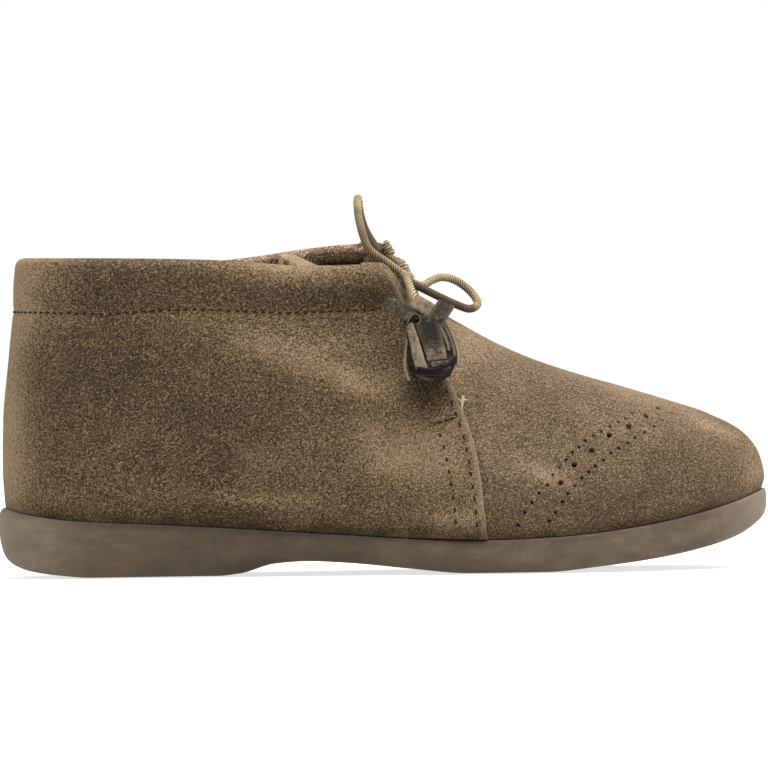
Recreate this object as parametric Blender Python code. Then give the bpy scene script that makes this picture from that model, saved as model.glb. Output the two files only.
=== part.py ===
"""Child's suede ankle boot for the right foot, standing empty on its sole.

Rubber unit sole, vamp under lapped quarters, rolled collar, and a cord lace tied in a bow
with a leather tab on each end.
The toe points along +X, the outer side of the foot is -Y and the floor is z = 0.
Sizes are in millimetres, and MM turns them into metres.
"""

import math

import bmesh
import bpy
import numpy as np
from mathutils import Vector

MM = 0.001
LATERAL, MEDIAL = -1, 1

# Driving sizes
LENGTH = 200.0
BALL_WIDTH = 75.0
HEEL_WIDTH = 54.0
HEEL_HEIGHT = 13.7
ARCH_RISE = 3.5
TOE_SPRING = 13.0
INSTEP_HEIGHT = 64.8
GAP = 0.3

# Leather
WALL = 2.4
LAP = 1.6
LAP_FADE = 32.0
COLLAR_BAND = 13.0
COLLAR_RIM = 4.4
COLLAR_GROOVE = 0.5
COLLAR_PUFF = 0.45
TONGUE_THICK = 1.8
INSOLE_THICK = 2.2

# Lace
CORD = 2.5
EYELET = 3.0

TOE = LENGTH / 2
BACK = -LENGTH / 2
RIM = 1.2


def table(columns, *rows):
    """A short table as named columns."""
    return dict(zip(columns.split(), np.array(rows, float).T))


# The sole's edge from above: half its width, and how far its middle lies towards the inner side
EDGE = table(
    "x half centre",
    (BACK, HEEL_WIDTH / 2, 0.0),
    (-70.0, HEEL_WIDTH / 2, 0.0),
    (-38.0, 26.6, -0.8),
    (-10.0, 28.4, -1.8),
    (16.0, 34.0, -1.3),
    (33.0, BALL_WIDTH / 2, -0.2),
    (58.0, 36.0, 1.8),
    (TOE, 33.0, 4.5),
)
TOE_ROUND, TOE_POWER = 52.0, 2.25
HEEL_ROUND, HEEL_POWER = 29.0, 2.1

# The sole's underside, level under heel and ball
GROUND = table(
    "x z",
    (BACK, 7.0),
    (-98.0, 4.2),
    (-92.0, 1.7),
    (-84.0, 0.6),
    (-76.0, 0.0),
    (-43.0, 0.0),
    (-37.0, 0.6),
    (-28.0, 3.0),
    (-20.0, ARCH_RISE),
    (-10.0, 3.0),
    (6.0, 1.4),
    (22.0, 0.0),
    (42.0, 0.0),
    (56.0, 1.2),
    (70.0, 2.9),
    (82.0, 5.2),
    (92.0, 8.2),
    (TOE, TOE_SPRING),
)

# The line where the upper meets the sole
FEATHER = table(
    "x z",
    (BACK, 18.4),
    (-92.0, 16.4),
    (-80.0, 14.8),
    (-60.0, HEEL_HEIGHT),
    (-35.0, 12.1),
    (-12.0, 10.5),
    (8.0, 9.2),
    (28.0, 8.6),
    (46.0, 9.2),
    (66.0, 11.4),
    (82.0, 14.6),
    (93.0, 17.8),
    (TOE, 20.6),
)

# The upper's top line: the ridge from the toe to the throat, where half is 0, then the throat and the collar.
# half is half its width, centre its middle's place across the foot, lateral and medial its heights.
TOP = table(
    "x half centre lateral medial",
    (-95.3, 22.0, 0.0, 82.9, 82.9),
    (-73.0, 23.0, 0.0, 82.6, 82.0),
    (-47.0, 24.3, 0.0, 81.9, 81.3),
    (-34.0, 24.0, 0.0, 81.1, 82.3),
    (-20.0, 22.6, 0.0, 80.1, 84.2),
    (-8.0, 18.6, 0.0, 80.3, 85.6),
    (-2.5, 14.2, 0.0, 80.5, 85.9),
    (0.6, 10.0, 0.0, 80.4, 85.4),
    (7.2, 4.8, 0.1, 72.6, 74.0),
    (14.0, 0.0, 0.2, 68.4, 68.4),
    (20.0, 0.0, 0.5, INSTEP_HEIGHT, INSTEP_HEIGHT),
    (30.0, 0.0, 1.0, 59.3, 59.3),
    (40.0, 0.0, 1.6, 54.8, 54.8),
    (50.0, 0.0, 2.2, 51.4, 51.4),
    (60.0, 0.0, 2.8, 48.4, 48.4),
    (70.0, 0.0, 3.4, 45.2, 45.2),
    (77.0, 0.0, 3.8, 42.9, 42.9),
)
VAMP_TOP = 14.0
THROAT_FADE = 14.0
COLLAR_ROUND, COLLAR_POWER = 26.0, 2.1

# Sections of the upper, each rising from the sole's edge at bottom_x to the top line at top_x.
# up and out say how it leaves the sole, and spread and down how it arrives at the top.
SECTIONS = table(
    "bottom_x top_x up out spread down",
    (TOE, 77.0, 0.62, 2.2, 0.62, 0.0),
    (84.0, 69.0, 0.62, 2.2, 0.62, 0.0),
    (66.0, 54.0, 0.60, 2.0, 0.62, 0.0),
    (48.0, 36.0, 0.54, 1.6, 0.60, 0.0),
    (36.5, 19.5, 0.46, 1.2, 0.56, 0.0),
    (33.0, 14.0, 0.43, 1.1, 0.54, 0.0),
    (30.0, 7.2, 0.40, 1.0, 0.50, 0.18),
    (27.0, 0.6, 0.38, 0.9, 0.47, 0.31),
    (12.0, -9.0, 0.38, 0.9, 0.28, 0.34),
    (-14.0, -28.0, 0.38, 1.4, 0.10, 0.34),
    (-52.0, -58.0, 0.36, 2.4, 0.0, 0.32),
    (BACK, -95.3, 0.34, 2.6, 0.0, 0.28),
)
LAP_BOTTOM = 26.3


def curve(xs, ys, at):
    """A smooth curve through a table's points that never overshoots them."""
    run, rise = np.diff(xs), np.diff(ys)
    chord = rise / run
    before, after = chord[:-1], chord[1:]
    turning = before * after <= 0
    wide, narrow = 2 * run[1:] + run[:-1], run[1:] + 2 * run[:-1]
    safe_before = np.where(turning, 1.0, before)
    safe_after = np.where(turning, 1.0, after)
    middle = (wide + narrow) / (wide / safe_before + narrow / safe_after)
    slope = np.concatenate([chord[:1], np.where(turning, 0.0, middle), chord[-1:]])
    k = np.clip(np.searchsorted(xs, at) - 1, 0, len(xs) - 2)
    t = np.clip((at - xs[k]) / run[k], 0, 1)
    from_start = (1 + 2 * t) * (1 - t) ** 2 * ys[k] + t * (1 - t) ** 2 * run[k] * slope[k]
    from_end = t**2 * (3 - 2 * t) * ys[k + 1] + t**2 * (t - 1) * run[k] * slope[k + 1]
    return from_start + from_end


def read(rows, column, at):
    return curve(rows["x"], rows[column], at)


def ease(t):
    """From 0 to 1 with a level start and end."""
    t = np.clip(t, 0, 1)
    return t * t * (3 - 2 * t)


def rounded(x, front, front_round, front_power, back, back_round, back_power):
    """1 along the middle, falling to 0 at either end like the side of an oval."""
    ahead = np.clip((x - front + front_round) / front_round, 0, 1)
    behind = np.clip((back + back_round - x) / back_round, 0, 1)
    at_front = (1 - ahead**front_power) ** (1 / front_power)
    return at_front * (1 - behind**back_power) ** (1 / back_power)


def swept(front, back, count=1500):
    """Places from front to back, close together at both ends."""
    return (front + back) / 2 + (front - back) / 2 * np.cos(np.linspace(0, math.pi, count))


def lengths(path):
    """How far along a path each of its points lies."""
    return np.concatenate([[0.0], np.cumsum(np.linalg.norm(np.diff(path, axis=0), axis=1))])


def sole_edge(side):
    """The sole's edge on one side, from toe to heel: points, outward directions and shares of its length."""
    x = swept(TOE, BACK)
    half = read(EDGE, "half", x)
    half = half * rounded(x, TOE, TOE_ROUND, TOE_POWER, BACK, HEEL_ROUND, HEEL_POWER)
    path = np.stack([x, read(EDGE, "centre", x) + side * half], axis=1)
    way = np.gradient(path, axis=0)
    way /= np.linalg.norm(way, axis=1)[:, None]
    out = np.stack([side * way[:, 1], -side * way[:, 0]], axis=1)
    out[0], out[-1] = (1.0, 0.0), (-1.0, 0.0)
    along = lengths(path)
    return path, out, along / along[-1]


EDGES = {side: sole_edge(side) for side in (LATERAL, MEDIAL)}
EDGES_LENGTH = {side: float(lengths(EDGES[side][0])[-1]) for side in (LATERAL, MEDIAL)}


def edge_at(side, share, inset):
    """Points of the sole's edge, moved in by inset, and their outward directions."""
    path, out, shares = EDGES[side]
    place = np.stack([np.interp(share, shares, path[:, k]) for k in (0, 1)], axis=-1)
    away = np.stack([np.interp(share, shares, out[:, k]) for k in (0, 1)], axis=-1)
    away /= np.linalg.norm(away, axis=-1)[..., None]
    return place - np.asarray(inset)[..., None] * away, away


def share_of(side, x):
    """The share of the sole's edge, from the toe, at which it passes x."""
    path, _, shares = EDGES[side]
    return np.interp(-np.asarray(x), -path[:, 0], shares)


def top_line(side):
    """The top line on one side, from toe to heel, its lengths, and how far along it the throat starts."""
    x = swept(TOP["x"][-1], TOP["x"][0])
    behind = np.clip((TOP["x"][0] + COLLAR_ROUND - x) / COLLAR_ROUND, 0, 1)
    half = read(TOP, "half", x) * (1 - behind**COLLAR_POWER) ** (1 / COLLAR_POWER)
    height = read(TOP, "lateral" if side == LATERAL else "medial", x)
    path = np.stack([x, read(TOP, "centre", x) + side * half, height], axis=1)
    along = lengths(path)
    return path, along, float(np.interp(-VAMP_TOP, -x, along))


TOPS = {side: top_line(side) for side in (LATERAL, MEDIAL)}


def distance_of(side, x):
    """How far along the top line it passes x."""
    path, along, _ = TOPS[side]
    return np.interp(-np.asarray(x), -path[:, 0], along)


def section_value(side, column, share):
    return curve(share_of(side, SECTIONS["bottom_x"]), SECTIONS[column], share)


def top_at(side, share):
    """The top of the section at this share of the sole's edge, and the ridge's slope there."""
    distance = curve(share_of(side, SECTIONS["bottom_x"]), distance_of(side, SECTIONS["top_x"]), share)
    path, along, throat = TOPS[side]
    place = np.stack([np.interp(distance, along, path[:, k]) for k in range(3)], axis=-1)
    step = 0.5
    on_ridge = np.clip(place[..., 0], VAMP_TOP, TOP["x"][-1] - step)
    slope = (read(TOP, "lateral", on_ridge + step) - read(TOP, "lateral", on_ridge - step)) / (2 * step)
    return place, slope * (1 - ease((distance - throat) / THROAT_FADE))


def skin(side, share, rise):
    """The upper's outer face: share runs from toe to heel, rise from 0 at the sole to 1 at the top."""
    share, rise = np.broadcast_arrays(np.asarray(share, float), np.asarray(rise, float))
    foot, away = edge_at(side, share, np.full(share.shape, RIM))
    start = np.concatenate([foot, read(FEATHER, "z", foot[..., 0])[..., None] + GAP / 2], axis=-1)
    end, slope = top_at(side, share)
    height = end[..., 2] - start[..., 2]
    leave = start.copy()
    leave[..., :2] += away * section_value(side, "out", share)[..., None]
    leave[..., 2] += height * section_value(side, "up", share)
    arrive = end.copy()
    arrive[..., :2] += (start - end)[..., :2] * section_value(side, "spread", share)[..., None]
    arrive[..., 2] += slope * (arrive - end)[..., 0] - height * section_value(side, "down", share)
    t = rise[..., None]
    return (1 - t) ** 3 * start + 3 * t * (1 - t) ** 2 * leave + 3 * t**2 * (1 - t) * arrive + t**3 * end


def outward(side, share, rise):
    """The outer face's outward direction."""
    small = 1e-4
    fore = skin(side, np.clip(share - small, 0, 1), rise)
    aft = skin(side, np.clip(share + small, 0, 1), rise)
    low = skin(side, share, np.clip(rise - small, 0, 1))
    high = skin(side, share, np.clip(rise + small, 0, 1))
    facing = side * np.cross(aft - fore, high - low)
    return facing / np.linalg.norm(facing, axis=-1)[..., None]


def rise_at(side, share, length):
    """The rise at a share of the section's length, or that many millimetres below its top if negative."""
    steps = np.linspace(0, 1, 300)
    found = np.zeros(np.shape(length))
    for i, one in enumerate(share):
        along = lengths(skin(side, np.full(300, one), steps))
        wanted = np.where(length[i] < 0, along[-1] + length[i], length[i] * along[-1])
        found[i] = np.interp(wanted, along, steps)
    return found


def share_reaching(side, x):
    """The share whose section ends on the ridge at x."""
    shares = np.linspace(0, 1, 2000)
    ends, _ = top_at(side, shares)
    return float(np.interp(-x, -ends[:, 0], shares))


# How the sections are divided for the solid
TOE_COLUMNS = 13
THROAT_COLUMNS = 4
QUARTER_COLUMNS = 21
LOW_ROWS = 8
BAND_ROWS = (21.0, COLLAR_BAND + 0.9, COLLAR_BAND - 0.7, 7.0, COLLAR_RIM / 2, 0.7, 1e-6)
VAMP_FULL = 0.72


def upper_shares(side):
    """Shares of the vamp's sections and of the quarter's, which start at the lap."""
    tongue_end = share_reaching(side, VAMP_TOP)
    lap = float(share_of(side, LAP_BOTTOM))
    fore = np.linspace(0, tongue_end, TOE_COLUMNS)
    throat = np.linspace(tongue_end, lap, THROAT_COLUMNS + 1)[1:]
    quarter = np.linspace(lap + 0.0012, 1, QUARTER_COLUMNS)
    return np.concatenate([fore, throat]), quarter


def upper_rises(side, vamp, quarter):
    """The rise of each row on each section."""
    even = np.linspace(0, 1, LOW_ROWS + len(BAND_ROWS))
    top_share = np.linspace(VAMP_FULL, 1, len(BAND_ROWS))
    packed = np.concatenate([np.linspace(0, VAMP_FULL, LOW_ROWS, endpoint=False), top_share])
    weight = ease(np.linspace(0, 1.4, TOE_COLUMNS + THROAT_COLUMNS))[:, None]
    vamp_rise = rise_at(side, vamp, even + (packed - even) * weight)
    band = rise_at(side, quarter, np.tile(-np.array(BAND_ROWS), (len(quarter), 1)))
    low = rise_at(side, quarter, np.zeros((len(quarter), LOW_ROWS)))
    for i, one in enumerate(quarter):
        steps = np.linspace(0, band[i, 0], 200)
        along = lengths(skin(side, np.full(200, one), steps))
        low[i] = np.interp(np.linspace(0, along[-1], LOW_ROWS, endpoint=False), along, steps)
    quarter_rise = np.concatenate([low, band], axis=1)
    blend = np.linspace(0, 1, THROAT_COLUMNS + 1)[1:, None]
    vamp_rise[TOE_COLUMNS:] += (quarter_rise[:1] - vamp_rise[TOE_COLUMNS:]) * blend
    return vamp_rise, quarter_rise


def quarter_layers(side, quarter):
    """How far the quarter's outer and inner faces lie outside the vamp's face, by section and row."""
    below = np.array([60.0] * LOW_ROWS + list(BAND_ROWS))
    radius = COLLAR_RIM / 2
    turn = radius - np.sqrt(np.maximum(radius**2 - np.maximum(radius - below, 0) ** 2, 0))
    puff = COLLAR_PUFF * np.sin(np.clip(below / COLLAR_BAND, 0, 1) * math.pi)
    groove = np.where(np.abs(below - COLLAR_BAND + 0.7) < 0.1, COLLAR_GROOVE, 0)
    behind = (quarter - quarter[0]) * EDGES_LENGTH[side]
    lap = LAP * (1 - 0.8 * ease(behind / LAP_FADE))
    outer = lap[:, None] * (1 - 0.55 * ease((COLLAR_BAND - below) / COLLAR_BAND)) + (puff - groove - turn)
    rolled = ease((COLLAR_BAND - below) / 9.0)
    thick = WALL + (COLLAR_RIM - WALL) * rolled
    inner = (outer + turn) * rolled - (thick - turn)
    inner[:, -1] = outer[:, -1]
    return outer, inner


def mesh_object(name, points, faces, colour, roughness, collection):
    """An object of its own mesh, with a plain material."""
    shape = bmesh.new()
    corners = [shape.verts.new(Vector(p) * MM) for p in points]
    for face in faces:
        shape.faces.new([corners[i] for i in face])
    bmesh.ops.remove_doubles(shape, verts=shape.verts, dist=1e-7)
    bmesh.ops.dissolve_degenerate(shape, dist=1e-7, edges=shape.edges)
    bmesh.ops.recalc_face_normals(shape, faces=shape.faces)
    mesh = bpy.data.meshes.new(name)
    shape.to_mesh(mesh)
    shape.free()
    made = bpy.data.objects.new(name, mesh)
    collection.objects.link(made)
    paint(made, colour, roughness)
    return made


def paint(made, colour, roughness):
    material = bpy.data.materials.new(made.name)
    material.use_nodes = True
    shader = material.node_tree.nodes["Principled BSDF"]
    shader.inputs["Base Color"].default_value = (*colour, 1.0)
    shader.inputs["Roughness"].default_value = roughness
    shader.inputs["Metallic"].default_value = 0.0
    made.data.materials.append(material)


def shell(outer, inner, faces):
    """The points and faces of a wall between two like surfaces, closed along their open edges."""
    count = len(outer)
    edges = {}
    for face in faces:
        for a, b in zip(face, face[1:] + face[:1]):
            edges[(a, b)] = edges.get((a, b), 0) + 1
    rims = [(b, a, a + count, b + count) for a, b in edges if (b, a) not in edges]
    backs = [tuple(i + count for i in reversed(face)) for face in faces]
    return np.concatenate([outer, inner]), list(faces) + backs + rims


def make_upper(collection):
    """Vamp and quarters as one wall, open at the collar, at the throat and underneath."""
    outer, inner, number, faces = [], [], {}, []

    def vertex(key, out_point, in_point):
        if key not in number:
            number[key] = len(outer)
            outer.append(out_point)
            inner.append(in_point)
        return number[key]

    rows = LOW_ROWS + len(BAND_ROWS)
    for side in (LATERAL, MEDIAL):
        vamp, quarter = upper_shares(side)
        vamp_rise, quarter_rise = upper_rises(side, vamp, quarter)
        shares = np.concatenate([vamp, quarter])[:, None]
        rises = np.concatenate([vamp_rise, quarter_rise])
        base = skin(side, shares, rises)
        facing = outward(side, shares, rises)
        out_by, in_by = quarter_layers(side, quarter)
        out_by = np.concatenate([np.zeros((len(vamp), rows)), out_by])
        in_by = np.concatenate([np.full((len(vamp), rows), -WALL), in_by])
        facing[:, 0, 2] = 0
        facing[:, 0] /= np.linalg.norm(facing[:, 0], axis=-1)[:, None]
        out_points = base + facing * out_by[..., None]
        in_points = base + facing * in_by[..., None]
        columns = len(shares)
        index = np.zeros((columns, rows), int)
        for j in range(columns):
            for i in range(rows):
                shared = j in (0, columns - 1) or (i == rows - 1 and j < TOE_COLUMNS)
                key = (0 if shared else side, j, i)
                index[j, i] = vertex(key, out_points[j, i], in_points[j, i])
        for j in range(columns - 1):
            for i in range(rows - 1):
                quad = (index[j, i], index[j + 1, i], index[j + 1, i + 1], index[j, i + 1])
                faces.append(quad if side == MEDIAL else quad[::-1])
    points, faces = shell(np.array(outer), np.array(inner), faces)
    return mesh_object("upper", points, faces, (0.116, 0.081, 0.047), 0.95, collection)


# Rings of the sole from its underside to its top: how far in from its edge, and the share of its height
SOLE_RINGS = table(
    "inset height",
    (7.0, 0.0),
    (3.6, 0.0),
    (1.7, 0.06),
    (0.5, 0.22),
    (0.0, 0.46),
    (0.1, 0.72),
    (0.5, 0.9),
    (1.3, 1.0),
    (6.0, 1.0),
)
SOLE_COLUMNS = 36


def ring(side, share, inset, height):
    """Points round the sole at one inset and one share of its height."""
    place, _ = edge_at(side, share, np.full(share.shape, inset))
    low, top = read(GROUND, "z", place[:, 0]), read(FEATHER, "z", place[:, 0]) - GAP / 2
    return np.concatenate([place, (low + (top - low) * height)[:, None]], axis=1)


def plate(name, rings, colour, roughness, collection):
    """A solid from closed rings, lowest first, each a pair of like lines that run from toe to heel."""
    points, faces, numbers = [], [], []
    for lateral, medial in rings:
        loop = np.concatenate([lateral, medial[-2:0:-1]])
        numbers.append(np.arange(len(loop)) + len(points))
        points.extend(loop)
    for low, high in zip(numbers, numbers[1:]):
        for k in range(len(low)):
            n = (k + 1) % len(low)
            faces.append((low[k], high[k], high[n], low[n]))
    for loop, turned in ((numbers[0], False), (numbers[-1], True)):
        half = len(loop) // 2
        for k in range(half):
            face = [loop[k], loop[k + 1], loop[(-k - 1) % len(loop)], loop[-k % len(loop)]]
            face = [v for i, v in enumerate(face) if v not in face[:i]]
            faces.append(face[::-1] if turned else face)
    return mesh_object(name, points, faces, colour, roughness, collection)


def make_outsole(collection):
    share = np.linspace(0, 1, SOLE_COLUMNS)
    rings = [
        [ring(side, share, inset, height) for side in (LATERAL, MEDIAL)]
        for inset, height in zip(SOLE_RINGS["inset"], SOLE_RINGS["height"])
    ]
    return plate("outsole", rings, (0.132, 0.101, 0.073), 0.6, collection)


def make_insole(collection):
    share = np.linspace(0, 1, SOLE_COLUMNS)
    inset = RIM + WALL + GAP + 0.2
    rings = []
    for extra, height in ((0.5, 0.0), (0.0, 0.35), (0.3, 1.0)):
        pair = []
        for side in (LATERAL, MEDIAL):
            line = ring(side, share, inset + extra, 1.0)
            line[:, 2] += GAP + INSOLE_THICK * height
            pair.append(line)
        rings.append(pair)
    return plate("insole", rings, (0.2, 0.15, 0.1), 0.9, collection)


# The tongue's sections from under the vamp to its tip: half its width, and how far its edges bend down
TONGUE = table(
    "x z half drop",
    (27.0, 57.0, 13.0, 4.8),
    (20.0, 61.2, 13.5, 6.0),
    (13.0, 65.8, 13.4, 6.4),
    (7.0, 69.4, 12.8, 5.3),
    (1.0, 72.9, 12.6, 4.0),
    (-6.0, 76.7, 13.2, 3.0),
    (-14.0, 80.6, 13.2, 2.2),
    (-20.5, 82.6, 11.5, 1.4),
    (-23.6, 83.4, 7.5, 0.8),
)


def make_tongue(collection):
    places = np.stack([TONGUE["x"], TONGUE["z"]], axis=1)
    way = np.gradient(places, axis=0)
    way /= np.linalg.norm(way, axis=1)[:, None]
    over = np.stack([way[:, 1], -way[:, 0]], axis=1)
    over *= np.sign(over[:, 1])[:, None]
    across = np.linspace(-1, 1, 11)
    outer, inner = [], []
    for (x, z), (ox, oz), half, drop in zip(places, over, TONGUE["half"], TONGUE["drop"]):
        for a in across:
            fall = drop * a * a
            outer.append((x - ox * fall, 0.3 + a * half, z - oz * fall))
            fall += TONGUE_THICK
            inner.append((x - ox * fall, 0.3 + a * half, z - oz * fall))
    n = len(across)
    faces = [
        (r * n + k, r * n + k + 1, (r + 1) * n + k + 1, (r + 1) * n + k)
        for r in range(len(places) - 1)
        for k in range(n - 1)
    ]
    points, faces = shell(np.array(outer), np.array(inner), faces)
    return mesh_object("tongue", points, faces, (0.145, 0.104, 0.063), 0.95, collection)


# Lace holes in each quarter, seen from the side
EYELETS = table(
    "x z",
    (5.9, 65.9),
    (10.6, 54.0),
)


def spot_on(side, x, z):
    """The quarter's outer face where it is seen at x and z from the side, and its outward direction."""
    _, quarter = upper_shares(side)
    near = np.linspace(quarter[0], quarter[0] + 0.2, 160)
    shares, rises = np.meshgrid(near, np.linspace(0.4, 0.98, 160))
    places = skin(side, shares, rises)
    best = np.argmin((places[..., 0] - x) ** 2 + (places[..., 2] - z) ** 2)
    share, rise = shares.flat[best], rises.flat[best]
    facing = outward(side, share, rise)
    return skin(side, share, rise) + facing * LAP, facing


def punch_eyelets(upper, helpers):
    """Cuts the lace holes square to the leather."""
    shape = bmesh.new()
    for side in (LATERAL, MEDIAL):
        for x, z in zip(EYELETS["x"], EYELETS["z"]):
            place, facing = spot_on(side, x, z)
            turned = Vector(facing).to_track_quat("Z", "Y").to_matrix().to_4x4()
            turned.translation = Vector(place) * MM
            bmesh.ops.create_cone(
                shape, cap_ends=True, segments=14, radius1=EYELET / 2 * MM, radius2=EYELET / 2 * MM,
                depth=12 * MM, matrix=turned,
            )
    mesh = bpy.data.meshes.new("eyelet_punches")
    shape.to_mesh(mesh)
    shape.free()
    punches = bpy.data.objects.new("eyelet_punches", mesh)
    punches.display_type = "WIRE"
    punches.hide_render = True
    helpers.objects.link(punches)
    cut = upper.modifiers.new("eyelets", "BOOLEAN")
    cut.object = punches
    cut.operation = "DIFFERENCE"
    cut.solver = "EXACT"


# Routes of the lace, each a row of places that it passes
LACE_RUN_LATERAL = (
    (7.1, -22.0, 67.7),
    (8.1, -23.6, 64.6),
    (9.0, -25.2, 61.3),
    (9.8, -26.6, 58.1),
    (10.6, -27.9, 54.8),
)
LACE_RUN_MEDIAL = (
    (6.6, 24.4, 67.4),
    (7.5, 25.6, 64.3),
    (8.4, 26.5, 61.1),
    (9.5, 27.5, 58.0),
    (10.6, 28.5, 54.9),
)
LACE_STAY_LATERAL = (
    (4.6, -16.4, 63.9),
    (4.0, -13.5, 67.4),
    (3.3, -10.2, 70.3),
    (2.4, -7.1, 72.3),
    (1.7, -4.4, 73.5),
    (2.0, -2.8, 74.6),
)
LACE_STAY_MEDIAL = (
    (5.3, 17.6, 64.6),
    (4.6, 15.1, 67.8),
    (3.9, 12.4, 70.8),
    (3.1, 9.2, 73.5),
    (2.1, 6.2, 75.4),
    (2.4, 3.8, 77.3),
)
LACE_LOOP_REAR = (
    (4.0, -2.2, 79.5),
    (0.3, -4.7, 82.0),
    (-2.3, -5.6, 85.2),
    (-4.0, -5.3, 89.4),
    (-5.1, -3.4, 93.6),
    (-5.6, -1.0, 96.4),
    (-5.4, 1.4, 96.9),
    (-4.4, 3.4, 93.4),
    (-2.4, 4.0, 88.4),
    (0.4, 2.6, 84.6),
    (3.8, 0.8, 81.4),
)
LACE_LOOP_FRONT = (
    (8.2, -2.4, 75.8),
    (10.9, -3.6, 73.8),
    (15.2, -4.2, 71.4),
    (19.5, -3.8, 69.3),
    (23.2, -2.2, 68.0),
    (25.3, 0.4, 69.0),
    (24.9, 2.8, 70.8),
    (22.6, 4.2, 73.3),
    (19.6, 4.2, 75.4),
    (16.4, 3.4, 76.0),
    (13.6, 2.2, 75.2),
    (11.2, 1.2, 74.6),
    (7.4, 0.5, 77.3),
)
LACE_END_LATERAL = (
    (6.4, -3.9, 78.2),
    (7.2, -8.5, 77.4),
    (7.4, -12.4, 75.9),
    (7.9, -16.1, 74.0),
    (8.6, -19.6, 71.8),
    (9.6, -22.8, 69.2),
    (10.7, -25.7, 66.6),
)
LACE_END_MEDIAL = (
    (7.6, 3.6, 77.2),
    (8.1, 8.2, 77.0),
    (8.5, 12.6, 76.1),
    (8.8, 16.8, 74.3),
    (9.3, 20.6, 72.1),
    (9.6, 23.9, 69.5),
    (9.5, 26.2, 67.2),
)
KNOT_PLACE, KNOT_SIZE = (5.9, -0.2, 79.0), (2.3, 3.0, 2.2)


def through(route, spacing):
    """Evenly spaced places on a smooth curve through a route."""
    route = np.array(route, float)
    ends = np.concatenate([[2 * route[0] - route[1]], route, [2 * route[-1] - route[-2]]])
    t = np.linspace(0, 1, 40, endpoint=False)[:, None]
    pieces = []
    for a, b, c, d in zip(ends, ends[1:], ends[2:], ends[3:]):
        bend = (2 * a - 5 * b + 4 * c - d) * t**2 + (3 * b - a - 3 * c + d) * t**3
        pieces.append(b + ((c - a) * t + bend) / 2)
    path = np.concatenate(pieces + [route[-1:]])
    along = lengths(path)
    wanted = np.linspace(0, along[-1], max(3, round(along[-1] / spacing) + 1))
    return np.stack([np.interp(wanted, along, path[:, k]) for k in range(3)], axis=1)


def make_cord(name, route, collection):
    places = through(route, 1.7 * CORD)
    line = bpy.data.curves.new(name, "CURVE")
    line.dimensions = "3D"
    line.bevel_depth = CORD / 2 * MM
    line.bevel_resolution = 2
    line.use_fill_caps = True
    spline = line.splines.new("POLY")
    spline.points.add(len(places) - 1)
    for point, place in zip(spline.points, places):
        point.co = (*(place * MM), 1.0)
    made = bpy.data.objects.new(name, line)
    collection.objects.link(made)
    paint(made, (0.42, 0.32, 0.18), 0.7)
    return made


def make_knot(collection):
    shape = bmesh.new()
    bmesh.ops.create_icosphere(shape, subdivisions=2, radius=MM)
    bmesh.ops.scale(shape, vec=KNOT_SIZE, verts=shape.verts)
    bmesh.ops.translate(shape, vec=Vector(KNOT_PLACE) * MM, verts=shape.verts)
    mesh = bpy.data.meshes.new("lace_knot")
    shape.to_mesh(mesh)
    shape.free()
    made = bpy.data.objects.new("lace_knot", mesh)
    collection.objects.link(made)
    paint(made, (0.42, 0.32, 0.18), 0.7)


# The rolled leather tab on each end of the lace: rings down its length, half its width and half its depth
TAB_RINGS = table(
    "down half depth",
    (0.0, 3.4, 2.2),
    (1.6, 5.0, 3.4),
    (6.0, 6.2, 4.2),
    (11.5, 6.7, 4.4),
    (15.6, 5.8, 3.8),
    (17.4, 3.6, 2.4),
)
TAB_TOPS = {LATERAL: (11.0, -28.7, 65.0), MEDIAL: (9.8, 29.6, 65.2)}
TAB_BOTTOMS = {LATERAL: (13.0, -37.8, 49.6), MEDIAL: (11.6, 38.6, 49.8)}

# The tab's flaps: where each starts across its neck, how it leans over, and its length and width
TAB_FLAPS = table(
    "start lean length width",
    (-3.4, -58.0, 8.4, 4.6),
    (0.4, 2.0, 5.6, 5.4),
    (3.6, 24.0, 7.0, 4.6),
)
FLAP_THICK = 1.2


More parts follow.
